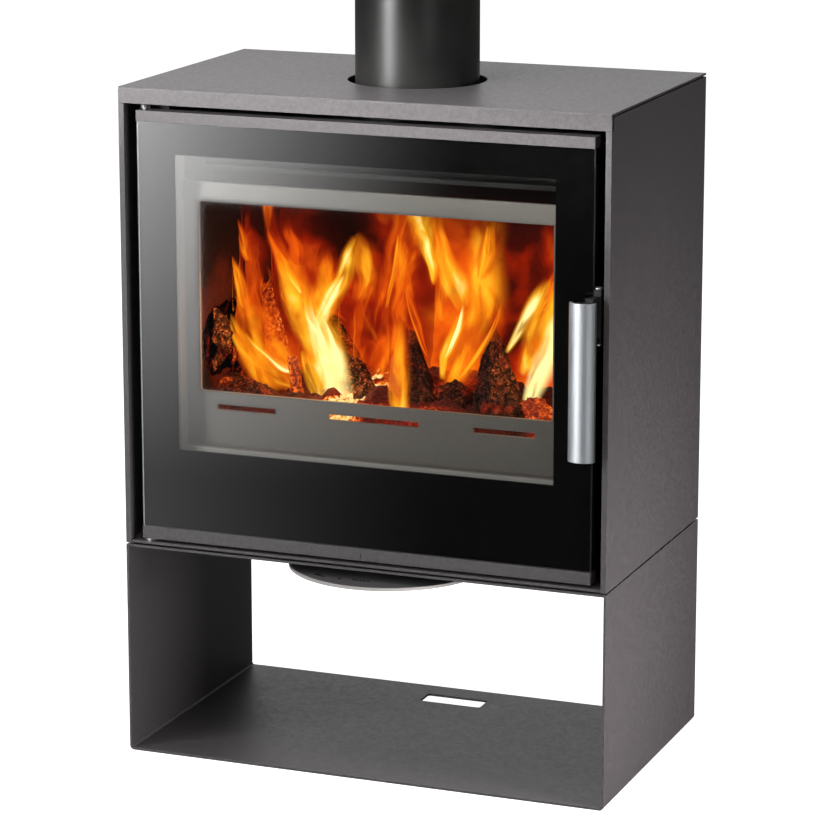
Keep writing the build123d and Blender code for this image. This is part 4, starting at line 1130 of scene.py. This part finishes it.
def inside(s, value, low, high):
    """1 between two limits and 0 outside them, with a narrow soft edge."""
    rise = s.spread(value, low - FLAG_SOFTNESS - FLAG_MARGIN, low + FLAG_SOFTNESS - FLAG_MARGIN)
    start, stop = high - FLAG_SOFTNESS + FLAG_MARGIN, high + FLAG_SOFTNESS + FLAG_MARGIN
    return s.times(rise, s.spread(value, start, stop, 1.0, 0.0))


def make_reflection_card():
    """A gradient card in front of the stove that only mirrors see: it gives the pane its sheen.

    It is dark where the camera sees the fire and the slots through the pane.
    """
    y = CAMERA_PLACE.y
    (x0, x1), (z0, z1) = CARD_X, CARD_Z
    corners = [(x0, y, z0), (x1, y, z0), (x1, y, z1), (x0, y, z1)]
    card = mesh_object("reflection_card", corners, [(3, 2, 1, 0)])
    s = Shader("reflection_card")
    parts = s.axes()
    across = s.spread(parts["X"], mirrored_x(SHEEN_X[0]), mirrored_x(SHEEN_X[1]), 1.0, 0.0)
    up = s.spread(parts["Z"], mirrored_z(SHEEN_Z[0]), mirrored_z(SHEEN_Z[1]), *SHEEN_LEVELS)
    level = s.times(across, up)
    level = s.times(level, level)
    holes = [((-MOUTH_HALF, MOUTH_HALF), (MOUTH_LOW, MOUTH_HIGH))]
    holes += [(slot, (SLOT_LOW, SLOT_HIGH)) for slot in SLOTS]
    for (left, right), (bottom, top) in holes:
        low, high = on_glass(left, bottom), on_glass(right, top)
        wide = inside(s, parts["X"], mirrored_x(low[0]), mirrored_x(high[0]))
        tall = inside(s, parts["Z"], mirrored_z(low[1]), mirrored_z(high[1]))
        flag = s.times(wide, tall)
        level = s.times(level, s.math("SUBTRACT", 1.0, flag))
    light = s.node("ShaderNodeEmission")
    s.put(light.inputs["Strength"], s.plus(s.times(level, CARD_STRENGTH), CARD_REST))
    s.put(s.output.inputs["Surface"], light.outputs["Emission"])
    card.data.materials.append(s.material)
    card.visible_camera = False
    card.visible_diffuse = False
    card.visible_shadow = False
    card.visible_transmission = False


def make_world():
    world = bpy.data.worlds.new("studio")
    world.use_nodes = True
    scene.world = world
    tree = world.node_tree
    tree.nodes.clear()
    output = tree.nodes.new("ShaderNodeOutputWorld")
    shown = tree.nodes.new("ShaderNodeBackground")
    shown.inputs["Strength"].default_value = 1.0
    shown.inputs["Color"].default_value = (1.0, 1.0, 1.0, 1.0)
    felt = tree.nodes.new("ShaderNodeBackground")
    felt.inputs["Color"].default_value = (1.0, 0.97, 0.94, 1.0)
    felt.inputs["Strength"].default_value = 0.07
    path = tree.nodes.new("ShaderNodeLightPath")
    both = tree.nodes.new("ShaderNodeMixShader")
    tree.links.new(path.outputs["Is Camera Ray"], both.inputs["Fac"])
    tree.links.new(felt.outputs["Background"], both.inputs[1])
    tree.links.new(shown.outputs["Background"], both.inputs[2])
    tree.links.new(both.outputs["Shader"], output.inputs["Surface"])


def make_studio():
    make_floor()
    make_reflection_card()
    make_world()
    area_light("top_softbox", (-0.2, -0.3, 3.0), (0, 0, 0.8), 2.2, 62.0)
    area_light("front_left_softbox", (-2.6, -3.2, 2.0), (0, 0, 0.6), 1.5, 62.0, size_y=2.0)
    area_light("left_strip", (-2.2, -1.9, 1.6), (0, 0, 0.9), 0.25, 26.0, size_y=2.0, glossy=False)
    area_light("right_fill", (3.3, -0.2, 0.55), (0.3, 0, 0.45), 1.4, 26.0, PALE_ROSE, glossy=False)
    area_light("back_softbox", (-1.3, 3.6, 1.7), (0, 0, 0.7), 3.6, 21.0, size_y=2.0)
    area_light("low_right_fill", (1.1, -0.32, 0.28), (0.316, -0.15, 0.1), 0.3, 4.6,
               PALE_ROSE, glossy=False, cone=100.0)
    area_light("front_band", (-0.5, -1.5, 1.25), (-0.02, -0.19, 0.84), 0.9, 1.25,
               size_y=0.05, glossy=False, cone=10.0)
    area_light("handle_card", (1.25, -1.35, 0.2), (0.29, -0.21, 0.53), 0.7, 2.5)


def fire_light(name, place, watts, colour):
    data = bpy.data.lights.new(name, "POINT")
    data.energy = watts
    data.color = colour
    data.shadow_soft_size = 0.03
    lamp = bpy.data.objects.new(name, data)
    lamp.location = place
    lamp.visible_glossy = False
    scene.collection.objects.link(lamp)


def make_fire_lights():
    orange = (1.0, 0.50, 0.16)
    fire_light("fire_left", seen_at(0.33, 0.25, 0.06), 1.3, orange)
    fire_light("fire_right", seen_at(0.93, 0.30, 0.07), 0.8, orange)
    fire_light("fire_low_left", seen_at(0.13, 0.42, 0.03), 0.5, (1.0, 0.42, 0.12))
    fire_light("fire_back", seen_at(0.55, 0.60, 0.16), 0.6, (1.0, 0.30, 0.07))


make_studio()
make_fire_lights()
